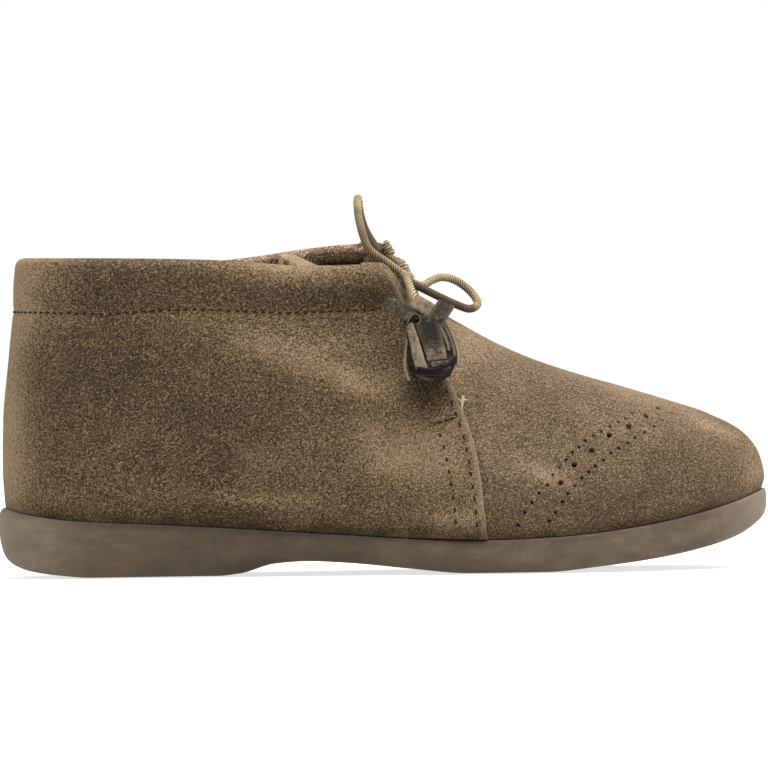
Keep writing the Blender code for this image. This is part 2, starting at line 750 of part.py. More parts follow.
def make_tab(side, name, collection, helpers):
    """A barrel of wound leather with three flaps at its neck."""
    top, bottom = Vector(TAB_TOPS[side]), Vector(TAB_BOTTOMS[side])
    down = (bottom - top).normalized()
    across = Vector((1, 0, 0))
    across = (across - down * across.dot(down)).normalized()
    proud = across.cross(down) * -1
    if proud.y * side < 0:
        proud = -proud
    turn = [2 * math.pi * k / 14 for k in range(14)]
    points, faces = [], []
    for drop, half, depth in zip(TAB_RINGS["down"], TAB_RINGS["half"], TAB_RINGS["depth"]):
        for a in turn:
            around = across * (half * math.cos(a)) + proud * (depth * math.sin(a))
            points.append(top + down * drop + around)
    count = len(turn)
    for r in range(len(TAB_RINGS["down"]) - 1):
        for k in range(count):
            n = (k + 1) % count
            faces.append((r * count + k, r * count + n, (r + 1) * count + n, (r + 1) * count + k))
    faces.append(tuple(range(count)))
    faces.append(tuple(range(len(points) - count, len(points))))
    body = mesh_object(name, points, faces, (0.058, 0.05, 0.04), 0.5, collection)
    for k, (start, lean, length, width) in enumerate(zip(*TAB_FLAPS.values())):
        lean = math.radians(lean)
        along = -down * math.cos(lean) + across * math.sin(lean)
        aside = across * math.cos(lean) + down * math.sin(lean)
        base = top + down * 1.6 + across * start + proud * (0.4 + 0.5 * k)
        corners = []
        for step in (0, 1):
            for off, out in ((-1, -1), (1, -1), (1, 1), (-1, 1)):
                corner = base + along * (step * length)
                corners.append(corner + aside * (off * width / 2) + proud * (out * FLAP_THICK / 2))
        box = ((0, 1, 2, 3), (4, 7, 6, 5), (0, 4, 5, 1), (1, 5, 6, 2), (2, 6, 7, 3), (3, 7, 4, 0))
        flap = mesh_object(f"{name}_flap_{k + 1}", corners, box, (0.058, 0.05, 0.04), 0.5, helpers)
        flap.hide_render = True
        flap.display_type = "WIRE"
        join = body.modifiers.new(flap.name, "BOOLEAN")
        join.object = flap
        join.operation = "UNION"
        join.solver = "EXACT"
    return body


def new_collection(name, hidden=False):
    made = bpy.data.collections.new(name)
    made.hide_render = hidden
    bpy.context.scene.collection.children.link(made)
    return made


def main():
    for old in list(bpy.data.objects):
        bpy.data.objects.remove(old, do_unlink=True)
    boot = new_collection("ankle_boot")
    make_outsole(boot)
    make_insole(boot)
    helpers = new_collection("helpers", hidden=True)
    punch_eyelets(make_upper(boot), helpers)
    make_tongue(boot)
    make_cord("lace_run_lateral", LACE_RUN_LATERAL, boot)
    make_cord("lace_run_medial", LACE_RUN_MEDIAL, boot)
    make_cord("lace_stay_lateral", LACE_STAY_LATERAL, boot)
    make_cord("lace_stay_medial", LACE_STAY_MEDIAL, boot)
    make_cord("lace_loop_rear", LACE_LOOP_REAR, boot)
    make_cord("lace_loop_front", LACE_LOOP_FRONT, boot)
    make_cord("lace_end_lateral", LACE_END_LATERAL, boot)
    make_cord("lace_end_medial", LACE_END_MEDIAL, boot)
    make_knot(boot)
    make_tab(LATERAL, "tab_lateral", boot, helpers)
    make_tab(MEDIAL, "tab_medial", boot, helpers)


main()
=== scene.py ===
"""Looks of the child's suede ankle boot: a right boot, seen from its outer side.

Sizes are in millimetres and in the part's own frame, and MM turns them into metres.
The shape's tables and functions are the part's own, read here at a finer pitch.
"""

import math

import bmesh
import bpy
import numpy as np
from mathutils import Matrix, Vector


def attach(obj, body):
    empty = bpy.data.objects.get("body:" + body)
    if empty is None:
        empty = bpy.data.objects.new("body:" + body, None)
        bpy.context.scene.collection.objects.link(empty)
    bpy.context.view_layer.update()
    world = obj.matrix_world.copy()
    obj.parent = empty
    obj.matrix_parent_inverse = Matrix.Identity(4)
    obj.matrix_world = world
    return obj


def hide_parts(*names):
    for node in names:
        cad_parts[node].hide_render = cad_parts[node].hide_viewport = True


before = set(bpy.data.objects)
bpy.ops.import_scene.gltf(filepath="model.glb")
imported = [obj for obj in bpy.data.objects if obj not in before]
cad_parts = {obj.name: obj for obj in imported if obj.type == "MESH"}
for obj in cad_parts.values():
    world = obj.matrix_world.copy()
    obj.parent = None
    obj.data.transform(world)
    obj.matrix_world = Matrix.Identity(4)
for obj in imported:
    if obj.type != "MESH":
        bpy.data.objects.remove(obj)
for startup in ("Cube", "Light", "Camera"):
    if startup in bpy.data.objects:
        bpy.data.objects.remove(bpy.data.objects[startup], do_unlink=True)
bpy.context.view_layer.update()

MM = 0.001
LATERAL, MEDIAL = SIDES = -1, 1
WORDS = {LATERAL: "lateral", MEDIAL: "medial"}

# Driving sizes
LENGTH = 200.0
BALL_WIDTH = 75.0
HEEL_WIDTH = 54.0
HEEL_HEIGHT = 13.7
ARCH_RISE = 3.5
TOE_SPRING = 13.0
INSTEP_HEIGHT = 64.8
GAP = 0.3

# Leather
WALL = 2.4
LAP = 1.6
LAP_FADE = 32.0
COLLAR_BAND = 13.0
COLLAR_RIM = 4.4
COLLAR_PUFF = 0.45
TONGUE_THICK = 1.8
INSOLE_THICK = 2.2

# Lace
EYELET = 3.0

TOE = LENGTH / 2
BACK = -LENGTH / 2
RIM = 1.2


def table(columns, *rows):
    """A short table as named columns."""
    return dict(zip(columns.split(), np.array(rows, float).T))


# The sole's edge from above: half its width, and how far its middle lies towards the inner side
EDGE = table(
    "x half centre",
    (BACK, HEEL_WIDTH / 2, 0), (-70, HEEL_WIDTH / 2, 0), (-38, 26.6, -0.8), (-10, 28.4, -1.8),
    (16, 34, -1.3), (33, BALL_WIDTH / 2, -0.2), (58, 36, 1.8), (TOE, 33, 4.5),
)
TOE_ROUND, TOE_POWER = 52.0, 2.25
HEEL_ROUND, HEEL_POWER = 29.0, 2.1

# The sole's underside, level under heel and ball
GROUND = table(
    "x z",
    (BACK, 7), (-98, 4.2), (-92, 1.7), (-84, 0.6), (-76, 0), (-43, 0), (-37, 0.6), (-28, 3),
    (-20, ARCH_RISE), (-10, 3), (6, 1.4), (22, 0), (42, 0), (56, 1.2), (70, 2.9), (82, 5.2), (92, 8.2),
    (TOE, TOE_SPRING),
)

# The line where the upper meets the sole
FEATHER = table(
    "x z",
    (BACK, 18.4), (-92, 16.4), (-80, 14.8), (-60, HEEL_HEIGHT), (-35, 12.1), (-12, 10.5), (8, 9.2),
    (28, 8.6), (46, 9.2), (66, 11.4), (82, 14.6), (93, 17.8), (TOE, 20.6),
)

# The upper's top line: the ridge from the toe to the throat, where half is 0, then the throat and the collar.
# half is half its width, centre its middle's place across the foot, lateral and medial its heights.
TOP = table(
    "x half centre lateral medial",
    (-95.3, 22, 0, 82.9, 82.9), (-73, 23, 0, 82.6, 82), (-47, 24.3, 0, 81.9, 81.3),
    (-34, 24, 0, 81.1, 82.3), (-20, 22.6, 0, 80.1, 84.2), (-8, 18.6, 0, 80.3, 85.6),
    (-2.5, 14.2, 0, 80.5, 85.9), (0.6, 10, 0, 80.4, 85.4), (7.2, 4.8, 0.1, 72.6, 74),
    (14, 0, 0.2, 68.4, 68.4), (20, 0, 0.5, INSTEP_HEIGHT, INSTEP_HEIGHT), (30, 0, 1, 59.3, 59.3),
    (40, 0, 1.6, 54.8, 54.8), (50, 0, 2.2, 51.4, 51.4), (60, 0, 2.8, 48.4, 48.4),
    (70, 0, 3.4, 45.2, 45.2), (77, 0, 3.8, 42.9, 42.9),
)
VAMP_TOP = 14.0
THROAT_FADE = 14.0
COLLAR_ROUND, COLLAR_POWER = 26.0, 2.1

# Sections of the upper, each rising from the sole's edge at bottom_x to the top line at top_x.
# up and out say how it leaves the sole, and spread and down how it arrives at the top.
SECTIONS = table(
    "bottom_x top_x up out spread down",
    (TOE, 77, 0.62, 2.2, 0.62, 0), (84, 69, 0.62, 2.2, 0.62, 0), (66, 54, 0.60, 2, 0.62, 0),
    (48, 36, 0.54, 1.6, 0.60, 0), (36.5, 19.5, 0.46, 1.2, 0.56, 0), (33, 14, 0.43, 1.1, 0.54, 0),
    (30, 7.2, 0.40, 1, 0.50, 0.18), (27, 0.6, 0.38, 0.9, 0.47, 0.31), (12, -9, 0.38, 0.9, 0.28, 0.34),
    (-14, -28, 0.38, 1.4, 0.10, 0.34), (-52, -58, 0.36, 2.4, 0, 0.32),
    (BACK, -95.3, 0.34, 2.6, 0, 0.28),
)
LAP_BOTTOM = 26.3


def curve(xs, ys, at):
    """A smooth curve through a table's points that never overshoots them."""
    run, rise = np.diff(xs), np.diff(ys)
    chord = rise / run
    before, after = chord[:-1], chord[1:]
    turning = before * after <= 0
    wide, narrow = 2 * run[1:] + run[:-1], run[1:] + 2 * run[:-1]
    safe_before = np.where(turning, 1.0, before)
    safe_after = np.where(turning, 1.0, after)
    middle = (wide + narrow) / (wide / safe_before + narrow / safe_after)
    slope = np.concatenate([chord[:1], np.where(turning, 0.0, middle), chord[-1:]])
    k = np.clip(np.searchsorted(xs, at) - 1, 0, len(xs) - 2)
    t = np.clip((at - xs[k]) / run[k], 0, 1)
    from_start = (1 + 2 * t) * (1 - t) ** 2 * ys[k] + t * (1 - t) ** 2 * run[k] * slope[k]
    from_end = t**2 * (3 - 2 * t) * ys[k + 1] + t**2 * (t - 1) * run[k] * slope[k + 1]
    return from_start + from_end


def read(rows, column, at):
    return curve(rows["x"], rows[column], at)


def ease(t):
    """From 0 to 1 with a level start and end."""
    t = np.clip(t, 0, 1)
    return t * t * (3 - 2 * t)


def rounded(x, front, front_round, front_power, back, back_round, back_power):
    """1 along the middle, falling to 0 at either end like the side of an oval."""
    ahead = np.clip((x - front + front_round) / front_round, 0, 1)
    behind = np.clip((back + back_round - x) / back_round, 0, 1)
    at_front = (1 - ahead**front_power) ** (1 / front_power)
    return at_front * (1 - behind**back_power) ** (1 / back_power)


def swept(front, back, count=1500):
    """Places from front to back, close together at both ends."""
    return (front + back) / 2 + (front - back) / 2 * np.cos(np.linspace(0, math.pi, count))


def fade(value, start, over):
    """From 0 where a value is start to 1 where it is over more."""
    return ease((value - start) / over)


def hill(distance, width):
    """1 in the middle, falling softly to 0 on either side."""
    return np.exp(-((distance / width) ** 2))


def unit(vectors):
    """The same directions, each of length 1."""
    return vectors / np.linalg.norm(vectors, axis=-1)[..., None]


def lengths(path):
    """How far along a path each of its points lies."""
    return np.concatenate([[0.0], np.cumsum(np.linalg.norm(np.diff(path, axis=0), axis=1))])


def sampled(at, along, path):
    """Places on a path at these lengths along it."""
    return np.stack([np.interp(at, along, column) for column in path.T], axis=-1)


def sole_edge(side):
    """The sole's edge on one side, from toe to heel: points, outward directions and shares of its length."""
    x = swept(TOE, BACK)
    half = read(EDGE, "half", x)
    half = half * rounded(x, TOE, TOE_ROUND, TOE_POWER, BACK, HEEL_ROUND, HEEL_POWER)
    path = np.stack([x, read(EDGE, "centre", x) + side * half], axis=1)
    way = unit(np.gradient(path, axis=0))
    out = np.stack([side * way[:, 1], -side * way[:, 0]], axis=1)
    out[0], out[-1] = (1.0, 0.0), (-1.0, 0.0)
    along = lengths(path)
    return path, out, along / along[-1]


EDGES = {side: sole_edge(side) for side in SIDES}
EDGES_LENGTH = {side: float(lengths(EDGES[side][0])[-1]) for side in SIDES}


def edge_at(side, share, inset):
    """Points of the sole's edge, moved in by inset, and their outward directions."""
    path, out, shares = EDGES[side]
    away = unit(sampled(share, shares, out))
    return sampled(share, shares, path) - inset * away, away


def share_of(side, x):
    """The share of the sole's edge, from the toe, at which it passes x."""
    path, _, shares = EDGES[side]
    return np.interp(-np.asarray(x), -path[:, 0], shares)


def top_line(side):
    """The top line on one side, from toe to heel, its lengths, and how far along it the throat starts."""
    x = swept(TOP["x"][-1], TOP["x"][0])
    behind = np.clip((TOP["x"][0] + COLLAR_ROUND - x) / COLLAR_ROUND, 0, 1)
    half = read(TOP, "half", x) * (1 - behind**COLLAR_POWER) ** (1 / COLLAR_POWER)
    height = read(TOP, WORDS[side], x)
    path = np.stack([x, read(TOP, "centre", x) + side * half, height], axis=1)
    along = lengths(path)
    return path, along, float(np.interp(-VAMP_TOP, -x, along))


TOPS = {side: top_line(side) for side in SIDES}


def distance_of(side, x):
    """How far along the top line it passes x."""
    path, along, _ = TOPS[side]
    return np.interp(-np.asarray(x), -path[:, 0], along)


def section_value(side, column, share):
    return curve(share_of(side, SECTIONS["bottom_x"]), SECTIONS[column], share)


def top_at(side, share):
    """The top of the section at this share of the sole's edge, and the ridge's slope there."""
    distance = curve(share_of(side, SECTIONS["bottom_x"]), distance_of(side, SECTIONS["top_x"]), share)
    path, along, throat = TOPS[side]
    place = sampled(distance, along, path)
    step = 0.5
    on_ridge = np.clip(place[..., 0], VAMP_TOP, TOP["x"][-1] - step)
    slope = (read(TOP, "lateral", on_ridge + step) - read(TOP, "lateral", on_ridge - step)) / (2 * step)
    return place, slope * (1 - fade(distance, throat, THROAT_FADE))


def skin(side, share, rise):
    """The upper's outer face: share runs from toe to heel, rise from 0 at the sole to 1 at the top."""
    share, rise = np.broadcast_arrays(np.asarray(share, float), np.asarray(rise, float))
    foot, away = edge_at(side, share, RIM)
    start = np.concatenate([foot, read(FEATHER, "z", foot[..., 0])[..., None] + GAP / 2], axis=-1)
    end, slope = top_at(side, share)
    height = end[..., 2] - start[..., 2]
    leave = start.copy()
    leave[..., :2] += away * section_value(side, "out", share)[..., None]
    leave[..., 2] += height * section_value(side, "up", share)
    arrive = end.copy()
    arrive[..., :2] += (start - end)[..., :2] * section_value(side, "spread", share)[..., None]
    arrive[..., 2] += slope * (arrive - end)[..., 0] - height * section_value(side, "down", share)
    t = rise[..., None]
    return (1 - t) ** 3 * start + 3 * t * (1 - t) ** 2 * leave + 3 * t**2 * (1 - t) * arrive + t**3 * end


def outward(side, share, rise):
    """The outer face's outward direction."""
    small = 1e-4
    fore = skin(side, np.clip(share - small, 0, 1), rise)
    aft = skin(side, np.clip(share + small, 0, 1), rise)
    low = skin(side, share, np.clip(rise - small, 0, 1))
    high = skin(side, share, np.clip(rise + small, 0, 1))
    return unit(side * np.cross(aft - fore, high - low))


def rise_at(side, share, length):
    """The rise at a share of the section's length, or that many millimetres below its top if negative."""
    steps = np.linspace(0, 1, 300)
    found = np.zeros(np.shape(length))
    for i, one in enumerate(share):
        along = lengths(skin(side, np.full(len(steps), one), steps))
        wanted = np.where(length[i] < 0, along[-1] + length[i], length[i] * along[-1])
        found[i] = np.interp(wanted, along, steps)
    return found


def share_reaching(side, x):
    """The share whose section ends on the ridge at x."""
    shares = np.linspace(0, 1, 2000)
    ends, _ = top_at(side, shares)
    return float(np.interp(-x, -ends[:, 0], shares))


LAPS = {side: float(share_of(side, LAP_BOTTOM)) for side in SIDES}

# The photograph's own frame: its width in pixels, its roll, and a pixel on the ground under the heel
PHOTO = 768
PIXEL = LENGTH / PHOTO
ROLL = math.radians(0.85)
GROUND_PIXEL = (130, 575)


def from_photo(px, py):
    """x and height of a pixel of the photograph, on the boot's side."""
    up = GROUND_PIXEL[1] - py
    x = (px - PHOTO / 2) * math.cos(ROLL) + up * math.sin(ROLL)
    z = up * math.cos(ROLL) - (px - GROUND_PIXEL[0]) * math.sin(ROLL)
    return x * PIXEL, z * PIXEL


# Camera: the photograph looks at the boot's outer side from a little above its middle, rolled a little
CAMERA_AWAY = 3000.0
CAMERA_RISE = math.radians(0.6)
SENSOR = 36.0


def make_camera():
    x, z = from_photo(PHOTO / 2, PHOTO / 2)
    camera = bpy.data.objects.new("camera", bpy.data.cameras.new("camera"))
    camera.data.sensor_width = SENSOR
    camera.data.lens = SENSOR * CAMERA_AWAY / LENGTH
    camera.data.clip_start = 0.01
    camera.data.clip_end = 100.0
    away = Vector((0.0, -math.cos(CAMERA_RISE), math.sin(CAMERA_RISE)))
    place = (Vector((x, 0.0, z)) + away * CAMERA_AWAY) * MM
    facing = (-away).to_track_quat("-Z", "Y").to_matrix().to_4x4()
    camera.matrix_world = Matrix.Translation(place) @ facing @ Matrix.Rotation(-ROLL, 4, "Z")
    bpy.context.scene.collection.objects.link(camera)
    bpy.context.scene.camera = camera


make_camera()


def add_mesh(name, points, faces, materials, indices=None, attributes=None):
    """A smooth piece from points in millimetres, with float attributes on its points."""
    mesh = bpy.data.meshes.new(name)
    points = np.reshape(points, (-1, 3)) * MM
    mesh.from_pydata(points.tolist(), [], [tuple(int(i) for i in f) for f in faces])
    for material in materials:
        mesh.materials.append(material)
    if indices is not None:
        mesh.polygons.foreach_set("material_index", np.asarray(indices, np.int32))
    for key, values in (attributes or {}).items():
        values = np.asarray(values, np.float32)
        mesh.attributes.new(key, "FLOAT", "POINT").data.foreach_set("value", values)
    mesh.polygons.foreach_set("use_smooth", np.ones(len(mesh.polygons), bool))
    mesh.validate()
    made = bpy.data.objects.new(name, mesh)
    bpy.context.scene.collection.objects.link(made)
    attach(made, "root")
    return made


def opened(made):
    """A piece's mesh, open for changes."""
    shape = bmesh.new()
    shape.from_mesh(made.data)
    return shape


def closed(shape, made, turned=True):
    """Puts a changed mesh back into its piece, smooth, with its faces turned outwards."""
    if turned:
        bmesh.ops.recalc_face_normals(shape, faces=shape.faces)
    shape.to_mesh(made.data)
    shape.free()
    made.data.polygons.foreach_set("use_smooth", np.ones(len(made.data.polygons), bool))
    return made


def grid(columns, rows, turned, start=0):
    """Faces between the points of a grid, which are numbered column by column."""
    quads = []
    for j in range(columns - 1):
        for i in range(rows - 1):
            k = start + j * rows + i
            quad = (k, k + rows, k + rows + 1, k + 1)
            quads.append(quad[::-1] if turned else quad)
    return quads


def tube_faces(rings, around, start=0):
    """Faces of a closed tube whose points are numbered ring by ring."""
    faces = []
    for r in range(rings - 1):
        for k in range(around):
            here, beside = (start + r * around + n % around for n in (k, k + 1))
            faces.append((here, beside, beside + around, here + around))
    last = start + (rings - 1) * around
    return faces + [tuple(range(start + around - 1, start - 1, -1)), tuple(range(last, last + around))]


def pairs(line, turned=False):
    """The edges along a line of points."""
    return [(b, a) if turned else (a, b) for a, b in zip(line, line[1:])]


# Points of a shell that lie closer than this become one
WELD = 0.004


def shell(name, outer, inner, faces, border, materials, attributes):
    """A hollow piece: like outer and inner points, the outer faces, and the edges to close.

    An attribute may leave off the inner points, where it is then 0.
    """
    outer, inner = np.reshape(outer, (-1, 3)), np.reshape(inner, (-1, 3))
    count = len(outer)
    backs = [tuple(i + count for i in face[::-1]) for face in faces]
    rims = [(a, b, b + count, a + count) for a, b in border]
    kinds = [0] * len(faces) + [1] * len(backs) + [0] * len(rims)
    for key, values in attributes.items():
        attributes[key] = np.concatenate([np.ravel(values), np.zeros(2 * count - np.size(values))])
    every = np.concatenate([outer, inner])
    made = add_mesh(name, every, faces + backs + rims, materials, kinds, attributes)
    shape = opened(made)
    bmesh.ops.remove_doubles(shape, verts=shape.verts, dist=WELD * MM)
    return closed(shape, made)


# In radii of a pressed hole: how far it reaches, and the place and width of the lip round it
HOLE_REACH, LIP_AT, LIP_WIDE = 1.9, 1.3, 0.22


def press(made, holes, ways, radii, passes, wall, depth, lip, shade, turned):
    """Presses round holes into a piece's outer face, with finer faces round them.

    passes has the cuts and the reach of each, and wall says, in radii, where a hole's wall begins and how
    wide it is.
    """
    shape = opened(made)
    for cuts, reach in passes:
        near = set()
        for face in shape.faces:
            if face.material_index == 0:
                gap = np.linalg.norm(holes - np.array(face.calc_center_median()) / MM, axis=1) - radii
                if gap.min() < reach:
                    near.update(face.edges)
        bmesh.ops.subdivide_edges(shape, edges=list(near), cuts=cuts, use_grid_fill=True)
    dark = shape.verts.layers.float["dark"]
    for vert in shape.verts:
        gap = np.linalg.norm(holes - np.array(vert.co) / MM, axis=1) / radii
        k = int(np.argmin(gap))
        if gap[k] < HOLE_REACH and vert.link_faces and vert.link_faces[0].material_index == 0:
            inside = 1 - float(fade(gap[k], *wall))
            rim = lip * hill(gap[k] - LIP_AT, LIP_WIDE)
            vert.co += Vector(ways[k]) * (rim - depth * inside) * MM
            vert[dark] = max(vert[dark], shade * inside)
    return closed(shape, made, turned)


# Directions of the waves that make up a smooth noise
WAVES = np.array((
    (1.0, 0.31, 0.17), (-0.23, 1.1, 0.37), (0.41, -0.29, 0.93), (0.77, 0.59, -0.61), (-0.53, 0.71, 0.83),
))


def wave(points, size, seed):
    """Smooth made-up noise from -1 to 1 whose lumps are about size across."""
    points = np.asarray(points, float) / size
    value = 0.0
    for k, step in enumerate(WAVES):
        sway = 1.3 * np.sin(points @ np.roll(step, 1) * 1.9 + seed + k)
        value = value + np.sin(points @ step * 3.1 + seed * (k + 1.7) + sway)
    return value / len(WAVES)


# Materials


def linear(colour):
    """A colour as a picture shows it, 0 to 255, in the shader's own scale and opaque."""
    scaled = (c / 255 for c in colour)
    return (*(((c + 0.055) / 1.055) ** 2.4 if c > 0.0404 else c / 12.92 for c in scaled), 1.0)


class Nodes:
    """Short ways to make and link a material's nodes."""

    def __init__(self, name):
        self.material = bpy.data.materials.new(name)
        self.material.use_nodes = True
        self.tree = self.material.node_tree
        self.shader = self.tree.nodes["Principled BSDF"]
        self.place = self.add("TexCoord").outputs["Object"]

    def put(self, node, inputs):
        """Sets a node's inputs: each a number, a picture's colour or another node's output."""
        for key, value in inputs.items():
            socket = node.inputs[key]
            if isinstance(value, bpy.types.NodeSocket):
                self.tree.links.new(value, socket)
            else:
                socket.default_value = linear(value) if socket.type == "RGBA" else value
        return node

    def add(self, kind, inputs=None, **settings):
        node = self.tree.nodes.new("ShaderNode" + kind)
        for key, value in settings.items():
            setattr(node, key, value)
        return self.put(node, inputs or {})

    def noise(self, size, detail=2.0, rough=0.55, place=None, distortion=0.0):
        """Noise from 0 to 1 whose lumps are about size millimetres across."""
        return self.add("TexNoise", {
            "Vector": place or self.place, "Scale": 1.0 / (size * MM), "Detail": detail, "Roughness": rough,
            "Distortion": distortion,
        }).outputs["Fac"]

    def math(self, kind, *values):
        return self.add("Math", dict(enumerate(values)), operation=kind).outputs[0]

    def spread(self, value, low, high, to_low=0.0, to_high=1.0):
        return self.add("MapRange", {
            "Value": value, "From Min": low, "From Max": high, "To Min": to_low, "To Max": to_high,
        }).outputs["Result"]

    def attribute(self, key):
        return self.add("Attribute", attribute_name=key).outputs["Fac"]

    def weighed(self, a, much_a, b, much_b):
        """The sum of two values, each with its weight."""
        return self.math("MULTIPLY_ADD", a, much_a, self.math("MULTIPLY", b, much_b))

    def clouded(self, tone, much, size, detail=2.0, rough=0.55):
        """A tone with lighter and darker clouds."""
        return self.math("ADD", tone, self.spread(self.noise(size, detail, rough), 0.3, 0.7, -much, much))

    def lit(self, tone, much):
        """A tone with the piece's light and dark places, painted highlights and shade among them."""
        return self.math("MULTIPLY_ADD", self.attribute("light"), much, tone)

    def ramp(self, value, *stops):
        node = self.add("ValToRGB", {"Fac": value})
        elements = node.color_ramp.elements
        while len(elements) < len(stops):
            elements.new(0.5)
        for element, (at, colour) in zip(elements, stops):
            element.position = at
            element.color = linear(colour)
        return node.outputs["Color"]

    def mix(self, share, a, b):
        return self.add("Mix", {0: share, 6: a, 7: b}, data_type="RGBA").outputs[2]

    def stretched(self, *scale):
        return self.add("Mapping", {"Vector": self.place, "Scale": scale}).outputs["Vector"]

    def bump(self, height, strength, depth, below=None):
        inputs = {"Strength": strength, "Distance": depth * MM, "Height": height}
        if below is not None:
            inputs["Normal"] = below
        return self.add("Bump", inputs).outputs["Normal"]

    def finish(self, colour, roughness, normal, specular, sheen=0.0, sheen_rough=0.5, tint=(255, 255, 255)):
        self.put(self.shader, {
            "Base Color": colour, "Roughness": roughness, "Normal": normal, "Specular IOR Level": specular,
            "Sheen Weight": sheen, "Sheen Roughness": sheen_rough, "Sheen Tint": tint,
        })
        return self.material


def suede(name, dark, mid, light):
    """Napped leather: a fine grain, cloudier patches, and the piece's light and dark places, painted light
    and shade among them.
    """
    n = Nodes(name)
    combed = n.stretched(0.9, 0.95, 1.1)
    fine = n.noise(0.3, 3.0, 0.7, combed)
    coarse = n.noise(0.62, 2.0, 0.6, combed)
    tone = n.spread(n.weighed(coarse, 0.3, fine, 0.7), 0.25, 0.75, -0.62, 1.62)
    tone = n.lit(n.clouded(n.clouded(tone, 0.05, 8.0, 3.0), 0.06, 34.0, 2.0, 0.5), 0.3)
    colour = n.ramp(tone, (0.0, dark), (0.5, mid), (1.0, light))
    colour = n.mix(n.attribute("raw"), colour, (124, 107, 84))
    # Darker where marked: along the join with the sole and the collar's seam, and painted shade in the holes
    # and at the tongue's sides
    colour = n.mix(n.attribute("dark"), colour, (34, 25, 17))
    nap = n.bump(fine, 0.5, 0.4, n.bump(coarse, 0.45, 0.6))
    return n.finish(colour, 0.97, nap, 0.08, sheen=0.06, sheen_rough=0.6, tint=(190, 168, 138))


def lining():
    """Brushed lining, with painted shade deep in the boot."""
    n = Nodes("brown_lining")
    fuzz = n.noise(0.45, 3.0, 0.65)
    tone = n.clouded(n.spread(fuzz, 0.33, 0.67), 0.15, 7.0)
    colour = n.ramp(tone, (0.0, (30, 20, 13)), (0.5, (112, 90, 71)), (1.0, (200, 173, 146)))
    colour = n.mix(n.attribute("dark"), colour, (22, 12, 5))
    return n.finish(colour, 0.97, n.bump(fuzz, 0.7, 0.5), 0.1, sheen=0.1)


def rubber():
    """Worn moulded rubber: grey brown, blotched, with brown grime along the join above."""
    n = Nodes("sole_rubber")
    clouds = n.noise(22.0, 4.0, 0.6, n.stretched(1.0, 1.0, 1.8), 0.6)
    blots = n.noise(6.0, 3.0, 0.6, n.stretched(0.7, 0.7, 1.6))
    fine = n.noise(0.9, 3.0, 0.6)
    tone = n.math("MULTIPLY_ADD", clouds, 0.42, n.math("MULTIPLY_ADD", blots, 0.3, 0.14))
    tone = n.lit(n.math("MULTIPLY_ADD", n.math("SUBTRACT", fine, 0.5), 0.16, tone), 0.45)
    colour = n.ramp(tone, (0.28, (56, 46, 36)), (0.5, (77, 65, 52)), (0.78, (110, 97, 82)))
    broken = n.spread(n.noise(3.2, 4.0, 0.65), 0.28, 0.62, 0.5, 1.0)
    colour = n.mix(n.math("MULTIPLY", n.attribute("grime"), broken), colour, (38, 29, 21))
    uneven = n.bump(fine, 0.12, 0.25, n.bump(blots, 0.15, 0.8))
    return n.finish(colour, n.spread(blots, 0.3, 0.7, 0.55, 0.75), uneven, 0.16)


def cord():
    """Beige twisted cord with painted shade in its grooves, darker on soiled lengths and on lengths in
    painted shade.
    """
    n = Nodes("lace_cord")
    fibre = n.noise(0.28, 3.0, 0.6)
    tone = n.clouded(n.weighed(n.attribute("rib"), 0.62, fibre, 0.3), 0.1, 6.0)
    colour = n.ramp(tone, (0.12, (46, 33, 20)), (0.5, (124, 106, 77)), (0.86, (196, 179, 144)))
    colour = n.mix(n.math("MULTIPLY", n.attribute("shade"), 0.8), colour, (50, 36, 26))
    return n.finish(colour, 0.8, n.bump(fibre, 0.4, 0.2), 0.2, sheen=0.1)


def leather(name, dark, mid, light):
    """Old smooth leather: grey, mottled, with light worn edges."""
    n = Nodes(name)
    mottle = n.noise(1.7, 4.0, 0.7, distortion=0.5)
    fine = n.noise(0.4, 3.0, 0.6)
    tone = n.lit(n.weighed(mottle, 0.7, fine, 0.3), 0.35)
    colour = n.ramp(tone, (0.36, dark), (0.5, mid), (0.68, light))
    colour = n.mix(n.attribute("raw"), colour, (138, 124, 102))
    wrinkles = n.bump(mottle, 0.5, 0.8, n.bump(fine, 0.4, 0.3))
    return n.finish(colour, n.spread(mottle, 0.3, 0.7, 0.55, 0.85), wrinkles, 0.12)


def thread(name, size, dark, light, roughness, strength, depth, specular):
    """Spun thread, mottled by its fibres."""
    n = Nodes(name)
    fibre = n.noise(size)
    colour = n.ramp(fibre, (0.3, dark), (0.7, light))
    return n.finish(colour, roughness, n.bump(fibre, strength, depth), specular)


def insole_sheet():
    n = Nodes("tan_insole")
    fine = n.noise(0.7, 3.0)
    tone = n.weighed(n.noise(14.0, 3.0), 0.65, fine, 0.35)
    colour = n.ramp(tone, (0.3, (92, 74, 54)), (0.55, (134, 112, 84)), (0.75, (160, 138, 108)))
    return n.finish(colour, 0.75, n.bump(fine, 0.25, 0.2), 0.25)


VAMP_SUEDE = suede("vamp_suede", (43, 34, 23), (82, 67, 50), (136, 117, 94))
QUARTER_SUEDE = suede("quarter_suede", (28, 21, 13), (72, 58, 41), (138, 117, 91))
TONGUE_SUEDE = suede("tongue_suede", (78, 64, 48), (122, 104, 81), (160, 141, 115))
LINING = lining()
RUBBER = rubber()
CORD_MATERIAL = cord()
TAB_DARK = leather("tab_dark", (5, 4, 2), (22, 17, 12), (74, 62, 47))
TAB_GREY = leather("tab_grey", (18, 14, 9), (53, 45, 35), (114, 101, 82))
THREAD = thread("brown_thread", 0.25, (24, 16, 9), (50, 36, 23), 0.95, 0.3, 0.1, 0.03)
CREAM = thread("cream_thread", 0.3, (112, 98, 72), (168, 155, 122), 0.9, 0.4, 0.2, 0.1)
TAN = insole_sheet()

# The vamp

